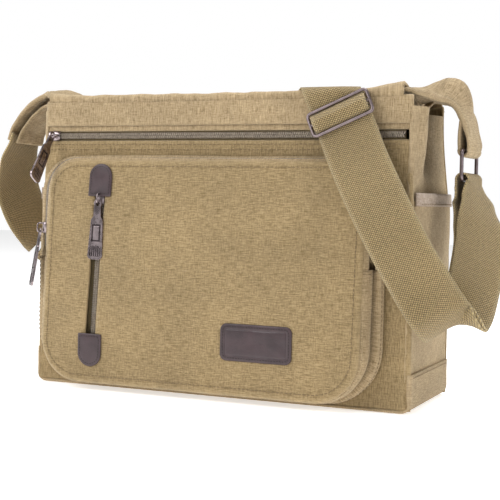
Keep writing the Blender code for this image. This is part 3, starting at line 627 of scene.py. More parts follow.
def make_back():
    low, high = LOW_EDGE, SEAM_TOP + SEAM_LAP
    rows = []
    for x in spaced(-HALF_WIDTH, HALF_WIDTH, 0.0036):
        row = []
        for z in spaced(low, high, 0.0036):
            point = front_point(x, z, low, high, 0.0004, 0.0024, 0.0024, BACK_SEED)
            row.append(Vector((point.x * (1 - 0.028 * step(REAR_LOW, REAR_HIGH, z)), -point.y, z)))
        rows.append(row)
    obj = cloth("back_cloth", rows, CANVAS_CLOTH)
    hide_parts("back_panel")

    def tone(co):
        return 0.55 * fade(min(side_x(co.z, co.x > 0) - abs(co.x), co.z - low, high - co.z), 0.0022)

    set_tone(obj, tone)
    for name, z in (("stitch_back_top", high - 0.0034), ("stitch_back_low", low + 0.0040)):
        points = [(x, BACK + 0.0006 + rumple((x, 0, z), FRONT_RUMPLE, BACK_SEED), z) for x in stations(164)]
        stitches(name, points, (0, 1, 0))


PINCH = 0.038  # how deep each gusset is tucked in at its top, and where the tuck starts
PINCH_START = 0.172
GUSSET_TOP = 0.2393
PINCH_Y = 0.006  # the middle of the tuck and its half width
PINCH_REACH = 0.021


def gusset_x(y, z, right=False):
    """Distance of a gusset's middle surface from the bag's middle: tucked in at the top between two lips."""
    tuck = PINCH * step(PINCH_START - 0.006, GUSSET_TOP + 0.012, z)
    valley = bell(y - PINCH_Y, PINCH_REACH)
    swell = bell(y + 0.039, 0.015)
    lift = 0.0095 * swell * step(0.160, 0.225, z)
    rear = REAR_DROP * step(0.0, 0.050, y) * step(REAR_LOW, REAR_HIGH, z)
    return side_x(z, right) - CANVAS / 2 - tuck * valley + lift - rear


def make_gussets():
    edge = BACK - 0.0008
    ys = spaced(-edge, edge, 0.0032)
    zs = spaced(BASE_BAND - 0.006, GUSSET_TOP, 0.0034)
    for label, sign, seed in (("right", 1, 31.0), ("left", -1, 37.0)):
        rows = []
        for y in ys:
            row = []
            for z in zs:
                side = edge - abs(y)
                x = gusset_x(y, z, sign > 0) - edge_roll(side, SEAM_ROLL) * (1.0 if y < 0 else 0.3)
                x += pucker(z, side, seed=seed) + rumple((0, y, z), 0.0012, seed) * step(0.0, 0.010, side)
                fold = math.sin(y / 0.0042 + 2.5 * rough((0, y, z), 0.05, seed)) * step(0.19, 0.235, z)
                x += 0.0011 * fold * step(0.0, 0.015, side)
                row.append(Vector((sign * x, y, z)))
            rows.append(row)
        obj = cloth(f"gusset_{label}_cloth", rows, CANVAS_PALE)
        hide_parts(f"gusset_{label}")

        def tone(co):
            side = edge - abs(co.y)
            # Painted shade: darker in the tucked-in hollow and on the tuck's rear half that faces forward; the edges
            # are paler with wear.
            hollow_shade = max(0.0, gusset_x(co.y, 0.1) - abs(co.x) - 0.006) / 0.030
            shaded = 0.55 * step(0.160, 0.205, co.z) * step(-0.020, 0.010, co.y) * step(0.062, 0.035, co.y)
            return max(0.6 * fade(side, 0.0025) - min(hollow_shade, 1.0) * 0.60 - shaded, -1.0)

        set_tone(obj, tone)


def make_base():
    """The bottom and the band that it turns up on each gusset, as one cloth."""
    out = HALF_WIDTH + 0.0010
    floor = 0.0011
    corner = 0.0080
    turned_up = [BASE_BAND - 0.020 * i / 6 for i in range(6)]
    profile = [(-out, z) for z in turned_up]
    profile += arc((-out + corner, corner + floor), corner, 180, 270, 6)
    profile += [(-out + corner + (2 * out - 2 * corner) * i / 60, floor) for i in range(1, 60)]
    profile += arc((out - corner, corner + floor), corner, 270, 360, 6)
    profile += [(out, z) for z in reversed(turned_up)]
    edge = BACK - 0.0004
    rows = []
    for x, z in profile:
        row = []
        for y in spaced(-edge, edge, 0.0045):
            fall = edge_roll(edge - abs(y), SEAM_ROLL)
            up = step(0.0, 0.010, z - floor)
            puff = rumple((x, y, z), 0.0008, 51.0) * up
            row.append(Vector((x - math.copysign(fall * up - puff, x), y, z + fall * (1 - up) * 0.6)))
        rows.append(row)
    obj = cloth("base_cloth", rows, CANVAS_PALE, 0.0018)
    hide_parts("bottom_panel")
    set_tone(obj, lambda co: 0.5 * fade(edge - abs(co.y), 0.0025) + 0.3 * fade(BASE_BAND - co.z, 0.001))
    for label, sign in (("right", 1), ("left", -1)):
        points = [(sign * (out + 0.0011), y, BASE_BAND - 0.0025) for y in stations(53)]
        stitches(f"stitch_base_{label}", points, (sign, 0, 0))


def make_side_pockets():
    mouth, lip = 0.1700, 0.0024
    low = BASE_BAND - 0.003
    half = 0.0530
    for label, sign, seed in (("right", 1, 61.0), ("left", -1, 67.0)):

        def point(y, z, out=0.0):
            u = (y + half) / (2 * half)
            belly = math.sin(math.pi * min(max(u, 0.0), 1.0)) ** 0.5
            belly *= step(0.0, 0.75, (z - low) / (mouth - low))
            rear = REAR_DROP * step(0.0, 0.05, y) * step(REAR_LOW, REAR_HIGH, z)
            x = HALF_WIDTH - 0.0010 + 0.0068 * belly + out - rear
            x += rumple((0, y, z), 0.0008, seed) * step(0.0, 0.01, half - abs(y))
            return Vector((sign * x, y, z))

        ys = spaced(-half, half, 0.0036)
        rows = [[point(y, z) for z in spaced(low, mouth - 0.004, 0.0040)] for y in ys]
        obj = cloth(f"side_pocket_{label}_cloth", rows, CANVAS_PALE, 0.0015)
        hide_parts(f"side_pocket_{label}")
        set_tone(obj, lambda co: 0.45 * fade(half - abs(co.y), 0.003))
        hem = [mouth - 0.0080, mouth - 0.0070, mouth - 0.0030, mouth + 0.0006, mouth + lip]
        rows = [[point(y, z, 0.0012) for z in hem] for y in ys]
        band = cloth(f"side_pocket_{label}_hem", rows, HEM_CLOTH, 0.0022)
        set_tone(band, lambda co: 0.5 * fade(mouth + lip - co.z, 0.002))
        points = [point(y, mouth - 0.0062, 0.0024) for y in stations(48)]
        stitches(f"stitch_side_pocket_{label}", points, (sign, 0, 0))


def rim_rise(x):
    """How far the rim lifts where it runs out into an ear."""
    return 0.0105 * step(0.118, 0.172, x) + 0.0050 * step(0.128, 0.168, -x)


def make_top():
    """The two top panels: each rolls over the rim and slopes in to the zip."""
    inner = 0.0050
    zip_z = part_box("top_zip_tape_a")[1].z + 0.0016
    reach = 0.1605
    xs = spaced(-reach, reach, 0.0032)
    for label, sign, seed in (("front", -1, 71.0), ("back", 1, 77.0)):
        rows = []
        for x in xs:
            rise = rim_rise(x)
            outer = -FRONT + 0.0004
            profile = [(outer - 0.0008, SEAM_TOP - 0.0012), (outer + 0.0004, SEAM_TOP + 0.0004)]
            profile += arc((outer - 0.0020, SEAM_TOP + 0.0024 + rise * 0.6), 0.0027, 0, 120, 6)
            high = SEAM_TOP + 0.0046 + rise * 0.6
            for k in range(1, 15):
                t = k / 14
                y = (outer - 0.0034) * (1 - t) + inner * t
                z = high + (zip_z - high) * step(0.0, 1.0, t) - 0.0016 * math.sin(math.pi * t)
                profile.append((y, z))
            row = []
            for k, (y, z) in enumerate(profile):
                wave = pucker(x, 0.0, 0.016, 0.0009, seed=seed) + pucker(x, 0.0, 0.006, 0.0003, seed=seed + 2)
                row.append(Vector((x, sign * (y + wave * 0.5), z + wave + rumple((x, y, 0), 0.0007, seed))))
            rows.append(row)
        obj = cloth(f"top_{label}_cloth", rows, CANVAS_PALE)
        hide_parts(f"top_panel_{label}")

        def tone(co):
            # Painted shade: a dark line along the crease under the rim's roll; the roll's top is paler with wear.
            crease = -0.5 * fade(abs(co.z - SEAM_TOP), 0.0006) * step(0.052, 0.056, abs(co.y))
            worn = 0.5 * step(SEAM_TOP + 0.002, SEAM_TOP + 0.006, co.z) * step(0.048, 0.054, abs(co.y))
            return crease + worn

        set_tone(obj, tone)
        for row_name, y in (("zip", 0.0085), ("zip_b", 0.0135)):
            points = [(x, sign * y, zip_z + 0.0012 + 0.0004 * (y > 0.01)) for x in stations(150)]
            stitches(f"stitch_top_{label}_{row_name}", points, (0, 0, 1))

# Organiser pocket --------------------------------------------------------------------------------

POCKET_LEFT, POCKET_RIGHT = POCKET_LOW.x, POCKET_HIGH.x
POCKET_BASE_Z, POCKET_TOP_Z = POCKET_LOW.z, POCKET_HIGH.z
TOP_RADIUS = 0.026
LOW_RADIUS = 0.036
POCKET_FLARE = 0.013  # how much wider the pocket is at the bag than at its face
POCKET_HEM_Z = 0.112
POCKET_UP = Vector((0, POCKET_HIGH.y - CANVAS - POCKET_LOW.y, POCKET_TOP_Z - POCKET_BASE_Z)).normalized()
POCKET_OUT = Vector((1, 0, 0)).cross(POCKET_UP)
WINDOW_HALF = 0.0050  # half the width of the patch zip's window


def pocket_face_y(z):
    return POCKET_LOW.y + (z - POCKET_BASE_Z) * POCKET_UP.y / POCKET_UP.z


def on_pocket(x, z, out=0.0):
    """A point on the pocket's face, standing out from it."""
    return Vector((x, pocket_face_y(z), z)) + POCKET_OUT * out


def nested_outline(left, right, low, high, low_radius, high_radius, inset, long_count, short_count, corner=8):
    """A rounded rectangle drawn inset from another, with the same number of points at every inset."""
    left, right, low, high = left + inset, right - inset, low + inset, high - inset
    least = 0.0010 * min(1.0, (high - low) / 0.004)
    low_radius, high_radius = max(low_radius - inset, least), max(high_radius - inset, least)
    corners = corner_arcs(left, right, low, high, low_radius, high_radius, corner)
    outline = []
    for k, points in enumerate(corners):
        outline += points
        start, stop = points[-1], corners[(k + 1) % 4][0]
        count = short_count if k % 2 == 0 else long_count
        outline += [tuple(a + (b - a) * i / count for a, b in zip(start, stop)) for i in range(1, count)]
    return outline


def nested_mesh(name, outline_at, insets, place):
    """Cloth made of nested outlines, closed in the middle. Place maps (x, z, inset) to space."""
    bm = bmesh.new()
    uv = bm.loops.layers.uv.new("UVMap")
    rings = []
    flat = {}
    for inset in insets:
        ring = []
        for x, z in outline_at(inset):
            vert = bm.verts.new(place(x, z, inset))
            flat[vert] = (x, z)
            ring.append(vert)
        rings.append(ring)
    count = len(rings[0])
    for outer, inner in zip(rings, rings[1:]):
        for k in range(count):
            n = (k + 1) % count
            bm.faces.new((outer[k], outer[n], inner[n], inner[k]))
    bm.faces.new(rings[-1])
    for face in bm.faces:
        for loop in face.loops:
            loop[uv].uv = flat[loop.vert]
    return finished(name, bm)


def pocket_inset(x, z):
    """How far a point of the pocket's face lies in from its edge."""
    left, right = x - POCKET_LEFT, POCKET_RIGHT - x
    low, high = z - POCKET_BASE_Z, POCKET_TOP_Z - z
    for side in (left, right):
        for end, radius in ((low, LOW_RADIUS), (high, TOP_RADIUS)):
            if side < radius and end < radius:
                return radius - math.hypot(radius - side, radius - end)
    return min(left, right, low, high)


def pocket_crown(x, z):
    """How far the pocket's face stands out: a soft belly, lowest at its edges, with handling wrinkles."""
    inset = pocket_inset(x, z)
    sag = 0.0032 * step(0.0, 0.060, inset) * (0.6 + 0.4 * step(0.19, 0.03, z))
    dents = rumple((x, 0.3, z), 0.0012, 91.0) * step(0.0, 0.020, inset)
    seam = pucker(x + z, inset, 0.010, 0.0008, 0.012, 93.0)
    return sag + dents + seam - edge_roll(inset, 0.0030)


def patch_line():
    """Upper and lower ends of the patch zip's window, on the pocket's face, as (x, z)."""
    low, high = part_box("patch_zip_chain")
    return ((high.x - 0.0022, high.z - 0.0005), (low.x + 0.0022, low.z + 0.0005))


def make_pocket_face():
    def outline_at(inset):
        edges = (POCKET_LEFT, POCKET_RIGHT, POCKET_BASE_Z, POCKET_TOP_Z)
        return nested_outline(*edges, LOW_RADIUS, TOP_RADIUS, inset, 78, 40)

    def place(x, z, inset):
        return on_pocket(x, z, pocket_crown(x, z) - CANVAS / 2)

    insets = [0.0, 0.0004, 0.0009, 0.0016, 0.0024, 0.0034, 0.0048, 0.0066, 0.009, 0.012]
    insets += [0.0155 + 0.0042 * k for k in range(18)] + [0.0915]
    mesh = nested_mesh("pocket_face", outline_at, insets, place)
    obj = new_object("pocket_face", mesh, "bag", CANVAS_CLOTH)
    thicken(obj, CANVAS)
    top, low = (on_pocket(x, z) for x, z in patch_line())
    window = zip_matrix((top + low) / 2, low - top, POCKET_OUT)
    cut(obj, block("patch_window", window, (top - low).length / 2, WINDOW_HALF, 0.02))
    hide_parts("pocket_panel")

    def tone(co):
        inset = pocket_inset(co.x, co.z)
        # Paler worn edge, and a line of painted shade along the stitched seam.
        return 0.55 * fade(inset, 0.0026) + -0.35 * bell(inset - 0.0052, 0.0006)

    set_tone(obj, tone)
    left, right = POCKET_LEFT - 0.0012, POCKET_RIGHT + 0.0012
    low_z, high_z = POCKET_BASE_Z - 0.0002, POCKET_TOP_Z + 0.0008
    outline = rounded_outline(left, right, low_z, high_z, 0.037, 0.027, 0.003)
    welt = [on_pocket(x, z, -0.0052) for x, z in outline]
    tube("pocket_welt", welt, 0.0015, "bag", CANVAS_PALE, POCKET_OUT, 10, True, 1.3)
    inset = 0.0052
    edges = (POCKET_LEFT + inset, POCKET_RIGHT - inset, POCKET_BASE_Z + inset, POCKET_TOP_Z - inset)
    outline = rounded_outline(*edges, 0.031, 0.021, 0.003)
    points = [on_pocket(x, z, pocket_crown(x, z) + 0.0001) for x, z in outline]
    stitches("stitch_pocket_face", points + points[:1], POCKET_OUT)


def zip_matrix(origin, along, outward):
    """A matrix whose X runs along a zip and whose Z points out of its face."""
    x_axis = Vector(along).normalized()
    z_axis = (Vector(outward) - x_axis * Vector(outward).dot(x_axis)).normalized()
    matrix = Matrix((x_axis, z_axis.cross(x_axis), z_axis)).transposed().to_4x4()
    matrix.translation = Vector(origin)
    return matrix


def block(name, matrix, half_x, half_y, half_z):
    """A plain block that only serves to cut with."""
    bm = bmesh.new()
    bmesh.ops.create_cube(bm, size=2.0)
    bmesh.ops.scale(bm, vec=(half_x, half_y, half_z), verts=bm.verts)
    bmesh.ops.transform(bm, matrix=matrix, verts=bm.verts)
    return link(name, finished(name, bm))


def cut(obj, *cutters):
    """Cuts each cutter out of an object, for good, and removes the cutters."""
    for cutter in cutters:
        modifier = obj.modifiers.new("cut", "BOOLEAN")
        modifier.operation = "DIFFERENCE"
        modifier.solver = "EXACT"
        modifier.object = cutter
    bpy.context.view_layer.update()
    mesh = bpy.data.meshes.new_from_object(obj.evaluated_get(bpy.context.evaluated_depsgraph_get()))
    obj.modifiers.clear()
    obj.data = mesh
    for cutter in cutters:
        bpy.data.objects.remove(cutter, do_unlink=True)


def pocket_runs(grow):
    """The pocket outline's lower run and upper run, cut at the hem height, both from left to right."""
    left, right = POCKET_LEFT - grow, POCKET_RIGHT + grow
    low, high = POCKET_BASE_Z, POCKET_TOP_Z + grow * 0.15
    low_radius, high_radius = LOW_RADIUS + grow * 0.5, TOP_RADIUS + grow * 0.5
    lower = [(left, POCKET_HEM_Z)] + arc((left + low_radius, low + low_radius), low_radius, 180, 270, 10)
    lower += arc((right - low_radius, low + low_radius), low_radius, -90, 0, 10) + [(right, POCKET_HEM_Z)]
    upper = [(left, POCKET_HEM_Z)] + arc((left + high_radius, high - high_radius), high_radius, 180, 90, 10)
    upper += arc((right - high_radius, high - high_radius), high_radius, 90, 0, 10) + [(right, POCKET_HEM_Z)]
    return lower, upper


STRIP_COUNT = 150


def strip_frames(which):
    """Along one run of the pocket's side: (panel point, body point, outward direction) at each station."""
    runs = (pocket_runs(grow)[which] for grow in (-0.0012, POCKET_FLARE))
    panel, body = (evenly([Vector((x, z, 0)) for x, z in run], STRIP_COUNT) for run in runs)
    middle = Vector(((POCKET_LEFT + POCKET_RIGHT) / 2, FRONT, (POCKET_BASE_Z + POCKET_TOP_Z) / 2))
    frames = []
    for i in range(STRIP_COUNT + 1):
        near = Vector((panel[i].x, pocket_face_y(panel[i].y) + CANVAS + 0.0010, panel[i].y))
        far = Vector((body[i].x, FRONT - 0.0010, body[i].y))
        a, b = max(i - 1, 0), min(i + 1, STRIP_COUNT)
        along = Vector((body[b].x - body[a].x, 0, body[b].y - body[a].y)).normalized()
        out = along.cross(far - near).normalized()
        if out.dot((near + far) / 2 - middle) < 0:
            out = -out
        frames.append((near, far, out))
    return frames


def strip_cloth(name, frames, profile, material, thickness, start=0, stop=None, seed=0.0, wave=0.0006):
    """Cloth along the pocket's side. Profile is (share from panel to body, lift) across it."""
    rows = []
    rows = []
    for near, far, out in frames[start:stop]:
        row = []
        for share, lift in profile:
            point = near.lerp(far, share) + out * lift
            row.append(point + out * rumple(point, wave, seed))
        rows.append(row)
    return cloth(name, rows, material, thickness)


def tone_across(obj, profile, value_at):
    """The tone of a strip of cloth by its share from the panel to the body."""
    set_values(obj, [value_at(share) for share, _ in profile] * (STRIP_COUNT + 1))


def make_pocket_side():
    frames = strip_frames(0)
    profile = [(0.0, -0.0004), (0.05, 0.0006), (0.12, 0.0013), (0.24, 0.0017), (0.36, 0.0012)]
    profile += [(0.46, -0.0002), (0.54, -0.0022), (0.60, -0.0030), (0.66, -0.0022), (0.72, 0.0002)]
    profile += [(0.78, 0.0017), (0.85, 0.0024), (0.92, 0.0022), (0.97, 0.0012), (1.0, -0.0004)]
    obj = strip_cloth("pocket_side_cloth", frames, profile, CANVAS_PALE, 0.0014, seed=95.0)
    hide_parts("pocket_gusset")

    def tone(share):
        # Painted shade in the fold's valley; the ridge by the seam and the panel's edge are made paler.
        return -0.75 * bell(share - 0.60, 0.07) + 0.5 * bell(share - 0.85, 0.06) + 0.4 * fade(share, 0.04)

    tone_across(obj, profile, tone)
    for label, (near, far, out) in (("left", frames[1]), ("right", frames[-2])):
        across = [near.lerp(far, share) + out * 0.0022 for share in (0.04, 0.2, 0.4, 0.5)]
        stitches(f"stitch_pocket_hem_{label}", across, out)
    points = []
    for near, far, out in frames:
        point = near.lerp(far, 0.86)
        points.append(point + out * 0.0033 + out * rumple(point, 0.0006, 95.0))
    stitches("stitch_pocket_side", points, (0, -1, 0))

    frames = strip_frames(1)
    inner = [(0.0, -0.0006), (0.05, 0.0005), (0.14, 0.0011), (0.24, 0.0012), (0.30, 0.0006), (0.32, -0.0006)]
    obj = strip_cloth("pocket_zip_facing_panel", frames, inner, CANVAS_PALE, 0.0012, seed=96.0)
    tape = [(0.20, -0.0016), (0.36, -0.0012), (0.49, -0.0010), (0.62, -0.0012), (0.78, -0.0016)]
    band = strip_cloth("pocket_zip_tape", frames, tape, TAPE_CLOTH, 0.0007, 2, -2, 97.0, 0.0002)
    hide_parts("pocket_zip_tape_panel", "pocket_zip_tape_body")
    outer = [(0.66, -0.0006), (0.68, 0.0008), (0.76, 0.0016), (0.86, 0.0019), (0.95, 0.0012), (1.0, -0.0004)]
    obj_outer = strip_cloth("pocket_zip_facing_body", frames, outer, CANVAS_PALE, 0.0012, seed=98.0)
    tone_across(obj, inner, lambda share: 0.45 * fade(abs(share - 0.31), 0.04))
    tone_across(obj_outer, outer, lambda share: 0.45 * fade(abs(share - 0.67), 0.04))
    centres = [near.lerp(far, 0.49) + out * 0.0004 for near, far, out in frames[3:-3]]
    outs = [out for _, _, out in frames[3:-3]]
    teeth = coil_teeth("pocket_zip_teeth", centres, outs, 0.0042, 0.0022)
    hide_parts("pocket_zip_chain")


# Zips, sliders and pulls -------------------------------------------------------------------------


def coil_teeth(name, centres, outs, width=0.0056, thick=0.0026, pitch=0.0019):
    """A zip's coil: two interlocking rows of small crowned teeth along a run of points."""
    lengths = distances(centres)
    profile = [(-0.08, -0.5), (-0.08, 0.28), (0.12, 0.5), (0.62, 0.5), (0.93, 0.22), (0.93, -0.5)]
    bm = bmesh.new()
    k = 0
    for i in range(int(lengths[-1] / pitch)):
        target = (i + 0.5) * pitch
        while k < len(centres) - 2 and lengths[k + 1] < target:
            k += 1
        share = (target - lengths[k]) / (lengths[k + 1] - lengths[k])
        centre = centres[k].lerp(centres[k + 1], share)
        along = (centres[k + 1] - centres[k]).normalized()
        out = outs[k].lerp(outs[k + 1], share)
        out = (out - along * out.dot(along)).normalized()
        across = out.cross(along)
        for side in (-1, 1):
            shift = pitch * 0.25 * side
            rings = []
            for end in (-0.36, 0.36):
                ring = []
                for reach, lift in profile:
                    forward = shift + end * pitch + pitch * 0.35 * reach
                    point = centre + along * forward + across * side * (width / 2) * reach
                    ring.append(bm.verts.new(point + out * thick * lift))
                rings.append(ring)
            join_rings(bm, rings)
    return new_object(name, finished(name, bm, True), "bag", COIL, smooth=False)


def zip_line(name, start, stop, outward, tape_half, node_chain, node_tapes):
    """A straight zip between two points: its woven tapes and its coil."""
    start, stop, outward = Vector(start), Vector(stop), Vector(outward)
    along = (stop - start).normalized()
    across = outward.cross(along)
    count = max(2, int((stop - start).length / 0.004))
    for label, side in (("low", -1), ("high", 1)):
        rows = []
        for i in range(count + 1):
            middle = start.lerp(stop, i / count)
            row = []
            for share in (0.0, 0.14, 0.3, 0.5, 0.75, 1.0):
                reach = 0.0004 + (tape_half - 0.0004) * share
                ridge = 0.0003 * bell(share - 0.3, 0.1)
                row.append(middle + across * side * reach + outward * (ridge - 0.0013))
            rows.append(row)
        tape = cloth(f"{name}_tape_{label}", rows, TAPE_CLOTH, 0.0008)
        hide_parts(node_tapes[0 if side < 0 else 1])
    points = [start.lerp(stop, i / count) + outward * 0.0001 for i in range(count + 1)]
    teeth = coil_teeth(f"{name}_teeth", points, [outward] * (count + 1))
    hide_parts(node_chain)


def plate_mesh(name, outline, thick, matrix, bevel=0.0003):
    """A flat plate from an outline of (along, across) with slightly softened edges."""
    bm = bmesh.new()
    face = bm.faces.new([bm.verts.new((x, y, -thick / 2)) for x, y in outline])
    made = bmesh.ops.extrude_face_region(bm, geom=[face])
    top = [item for item in made["geom"] if isinstance(item, bmesh.types.BMVert)]
    bmesh.ops.translate(bm, vec=(0, 0, thick), verts=top)
    bmesh.ops.recalc_face_normals(bm, faces=bm.faces)
    sharp = [edge for edge in bm.edges if edge.calc_face_angle(0.0) > 0.7]
    bmesh.ops.bevel(bm, geom=sharp, offset=bevel, segments=2, profile=0.6, affect="EDGES", clamp_overlap=True)
    bmesh.ops.transform(bm, matrix=matrix, verts=bm.verts)
    return finished(name, bm)


def oblong(half_x, half_y):
    """The four corners of an oblong."""
    return [(-half_x, -half_y), (half_x, -half_y), (half_x, half_y), (-half_x, half_y)]


def round_block(name, matrix, half_x, half_y, half_z, radius, segments=4):
    """A block whose corners are rounded in its X-Y plane, for cutting."""
    outline = sum(corner_arcs(-half_x, half_x, -half_y, half_y, radius, radius, segments), [])
    return link(name, plate_mesh(name, outline, half_z * 2, matrix, 0.00001))


PULL_LENGTH = 0.0475
PULL_THICK = 0.0018
PULL_CORNER = 0.0040
EYE_OUTER = 0.0039
EYE_INNER = 0.0021
FIELD_AT = 0.0250  # from the eye to the middle of the sunk field, and to the middle of the ribbed window
WINDOW_AT = 0.0407
BAIL_HEIGHT = 0.0081
WIDE_TAPE = 0.0088  # half the width of the front and top zips with their tapes
PATCH_TAPE = 0.0080


def pull_half(reach):
    """Half a pull's width at a distance from its eye's middle: a neck, shoulders and a long taper."""
    neck, shoulder = 0.0105, 0.0143
    taper = min(max((reach - shoulder) / 0.0330, 0.0), 1.0)
    return 0.0036 + 0.0022 * step(neck, shoulder, reach) + 0.0016 * taper


def make_pull(name, pivot, down, normal, shift):
    """A long stamped pull: an eye, a stem with a sunk field, and a ribbed window near its tip."""
    down, normal = Vector(down).normalized(), Vector(normal).normalized()
    matrix = zip_matrix(Vector(pivot) + down * shift, down, normal)
    reaches = (0.0055, 0.0100, 0.0113, 0.0124, 0.0135, 0.0147, 0.024, 0.033, 0.0420)
    lower = [(reach, -pull_half(reach)) for reach in reaches]
    tip = (PULL_LENGTH - PULL_CORNER, -pull_half(PULL_LENGTH) + PULL_CORNER)
    lower += arc(tip, PULL_CORNER, -90, 0, 6)
    outline = arc((0, 0), EYE_OUTER, 60, 300, 16) + lower + [(x, -y) for x, y in reversed(lower)]
    obj = new_object(name, plate_mesh(name, outline, PULL_THICK, matrix), name, METAL, False)
    window = matrix @ Matrix.Translation((WINDOW_AT, 0, 0))
    cutters = [round_block("eye", matrix, EYE_INNER, EYE_INNER, 0.004, EYE_INNER - 0.00001, 6)]
    for side in (-1, 1):
        sunk = matrix @ Matrix.Translation((FIELD_AT, 0, side * PULL_THICK / 2))
        cutters.append(round_block("field", sunk, 0.0075, 0.0043, 0.00060, 0.0007))
    cutters.append(round_block("window", window, 0.0042, 0.0052, 0.004, 0.0012))
    cut(obj, *cutters)
    obj.data.shade_smooth()
    smooth = obj.modifiers.new("shade", "WEIGHTED_NORMAL")
    smooth.keep_sharp = True
    sharpen(obj)
    middle = matrix @ Matrix.Translation((FIELD_AT, 0, 0))
    # The near-black window and field plates are painted shade in the recesses.
    plates = [
        ("window", oblong(0.0044, 0.0054), 0.0007, window, 0.0001, METAL_SHADE),
        ("field", oblong(0.0073, 0.0041), PULL_THICK - 0.00112, middle, 0.0001, METAL_SHADE),
        ("pad", oblong(0.0058, 0.0028), PULL_THICK - 0.0004, middle, 0.0002, METAL),
    ]
    for k in range(5):
        rib = matrix @ Matrix.Translation((WINDOW_AT, (k - 2) * 0.0020, 0))
        plates.append((f"rib_{k + 1}", oblong(0.0038, 0.00045), 0.0013, rib, 0.0001, METAL))
    for label, outline, thick, place, bevel, metal in plates:
        mesh = plate_mesh(label, outline, thick, place, bevel)
        new_object(f"{name}_{label}", mesh, name, metal, False)
    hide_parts(name)


def sharpen(obj, angle=0.6):
    """Marks the hard edges of a mesh, so that its flat faces stay flat when shaded smoothly."""
    bm = bmesh.new()
    bm.from_mesh(obj.data)
    for edge in bm.edges:
        edge.smooth = edge.calc_face_angle(0.0) < angle
    bm.to_mesh(obj.data)
    bm.free()


def make_slider(name, origin, along, outward, pull):
    """A slider's body: a domed plate over the teeth, flanges beside them and a bail over its back."""
    matrix = zip_matrix(origin, along, outward)
    half_long, half_wide = 0.0048, 0.0040
    sides = ((-1, 0.0013), (-0.96, 0.0021), (-0.7, 0.0026), (0, 0.0029))
    sides += tuple((-u, lift) for u, lift in sides[2::-1])
    shape = [(-1.0, 0.62), (-0.9, 0.8), (-0.55, 0.98), (0.0, 1.0), (0.45, 0.88), (0.8, 0.74), (1.0, 0.6)]
    rows = []
    for share, wide in shape:
        dome = 0.0007 * (1 - share * share)
        spots = [(half_long * share, half_wide * wide * u, lift + dome * (1 - u * u)) for u, lift in sides]
        rows.append([matrix @ Vector(spot) for spot in spots])
    top = cloth(f"{name}_plate", rows, METAL, 0.0009, name)
    soften = top.modifiers.new("soften", "SUBSURF")
    soften.levels = 1
    soften.render_levels = 1
    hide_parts(name)
    up = (matrix.to_3x3() @ Vector((0, 0, 1))).normalized()
    side_way = (matrix.to_3x3() @ Vector((0, 1, 0))).normalized()
    for side, label in ((-1, "left"), (1, "right")):
        run = [matrix @ Vector((half_long * s, side * half_wide * w * 0.98, 0.0012)) for s, w in shape]
        tube(f"{name}_flange_{label}", run, 0.0006, name, METAL, up, 8, False, 1.8)
    points = [(-0.0038, 0.0022), (-0.0038, BAIL_HEIGHT - 0.0016), (-0.0028, BAIL_HEIGHT - 0.0002)]
    points.append((0.0, BAIL_HEIGHT))
    points += [(-x, z) for x, z in reversed(points[:3])]
    curve = [smooth_point(points, k / 23) for k in range(24)]
    shift = side_way * (matrix.inverted() @ Vector(pull)).y
    run = [matrix @ Vector((x, 0, z)) + shift for x, z in curve]
    tube(f"{name}_bail", run, 0.0007, name, METAL, side_way, 8)


def smooth_point(points, share):
    """A point on the smooth curve through a run of points."""
    scaled = share * (len(points) - 1)
    k = min(int(scaled), len(points) - 2)
    t = scaled - k
    a, b, c, d = (Vector(points[min(max(at, 0), len(points) - 1)]) for at in range(k - 1, k + 3))
    return 0.5 * (2 * b + (c - a) * t + (2 * a - 5 * b + 4 * c - d) * t * t + (3 * b - a - 3 * c + d) * t**3)


# Each slider: where it sits, the way of its zip, the way out of it, and its pull's pivot, hang, face
# normal and how far the eye's middle lies past the pivot.
HARDWARE = {
    "front_zip": (
        (-0.1554, -0.0553, 0.2175), (1, 0, 0), (0, -1, 0),
        (-0.1554, -0.0634, 0.2175), (0, -0.5592, -0.829), (1, 0, 0), 0.0,
    ),
    "top_zip": (
        (-0.1380, 0, 0.2415), (1, 0, 0), (0, 0, 1),
        (-0.1367, 0, 0.2468), (1, 0, 0), (0, 0, 1), 0.0030,
    ),
    "patch_zip": (
        (-0.10045, -0.06909, 0.16284), (-0.0143, -0.069, -0.9975), (0, -0.9976, 0.069),
        (-0.10047, -0.07446, 0.16191), (-0.0143, -0.069, -0.9975), (0, -0.9976, 0.069), 0.0030,
    ),
    "pocket_zip": (
        (-0.15837, -0.06493, 0.1370), (0, -0.0352, -0.9994), (-0.7395, -0.6728, 0.0237),
        (-0.16229, -0.06854, 0.13583), (-0.1029, -0.1285, -0.9864), (-0.7323, -0.6613, 0.1626), 0.0030,
    ),
}


def make_zips():
    low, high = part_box("front_zip_chain")
    y, half = (low.y + high.y) / 2, high.x
    ends = (-half - 0.0005, y, ZIP_Z), (half + 0.0048, y, ZIP_Z)
    tapes = ("front_zip_tape_a", "front_zip_tape_b")
    zip_line("front_zip", *ends, (0, -1, 0), WIDE_TAPE, "front_zip_chain", tapes)
    low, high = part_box("top_zip_chain")
    z = (low.z + high.z) / 2
    ends = (low.x, 0, z), (high.x, 0, z)
    tapes = ("top_zip_tape_a", "top_zip_tape_b")
    zip_line("top_zip", *ends, (0, 0, 1), WIDE_TAPE, "top_zip_chain", tapes)
    ends = [on_pocket(x, z, -0.0028) for x, z in patch_line()]
    tapes = ("patch_zip_tape_a", "patch_zip_tape_b")
    zip_line("patch_zip", *ends, POCKET_OUT, PATCH_TAPE, "patch_zip_chain", tapes)
    for prefix, (origin, along, out, pivot, hang, normal, shift) in HARDWARE.items():
        make_slider(f"{prefix}_slider", origin, along, out, pivot)
        make_pull(f"{prefix}_pull", pivot, hang, normal, shift)


# Leather -----------------------------------------------------------------------------------------


LEATHER_THICK = 0.0012
LEATHER_ROUND = 0.0005
LEATHER_END = (0.0270, 0.01075)  # length and corner radius of each end piece
END_SEAM = 0.0018


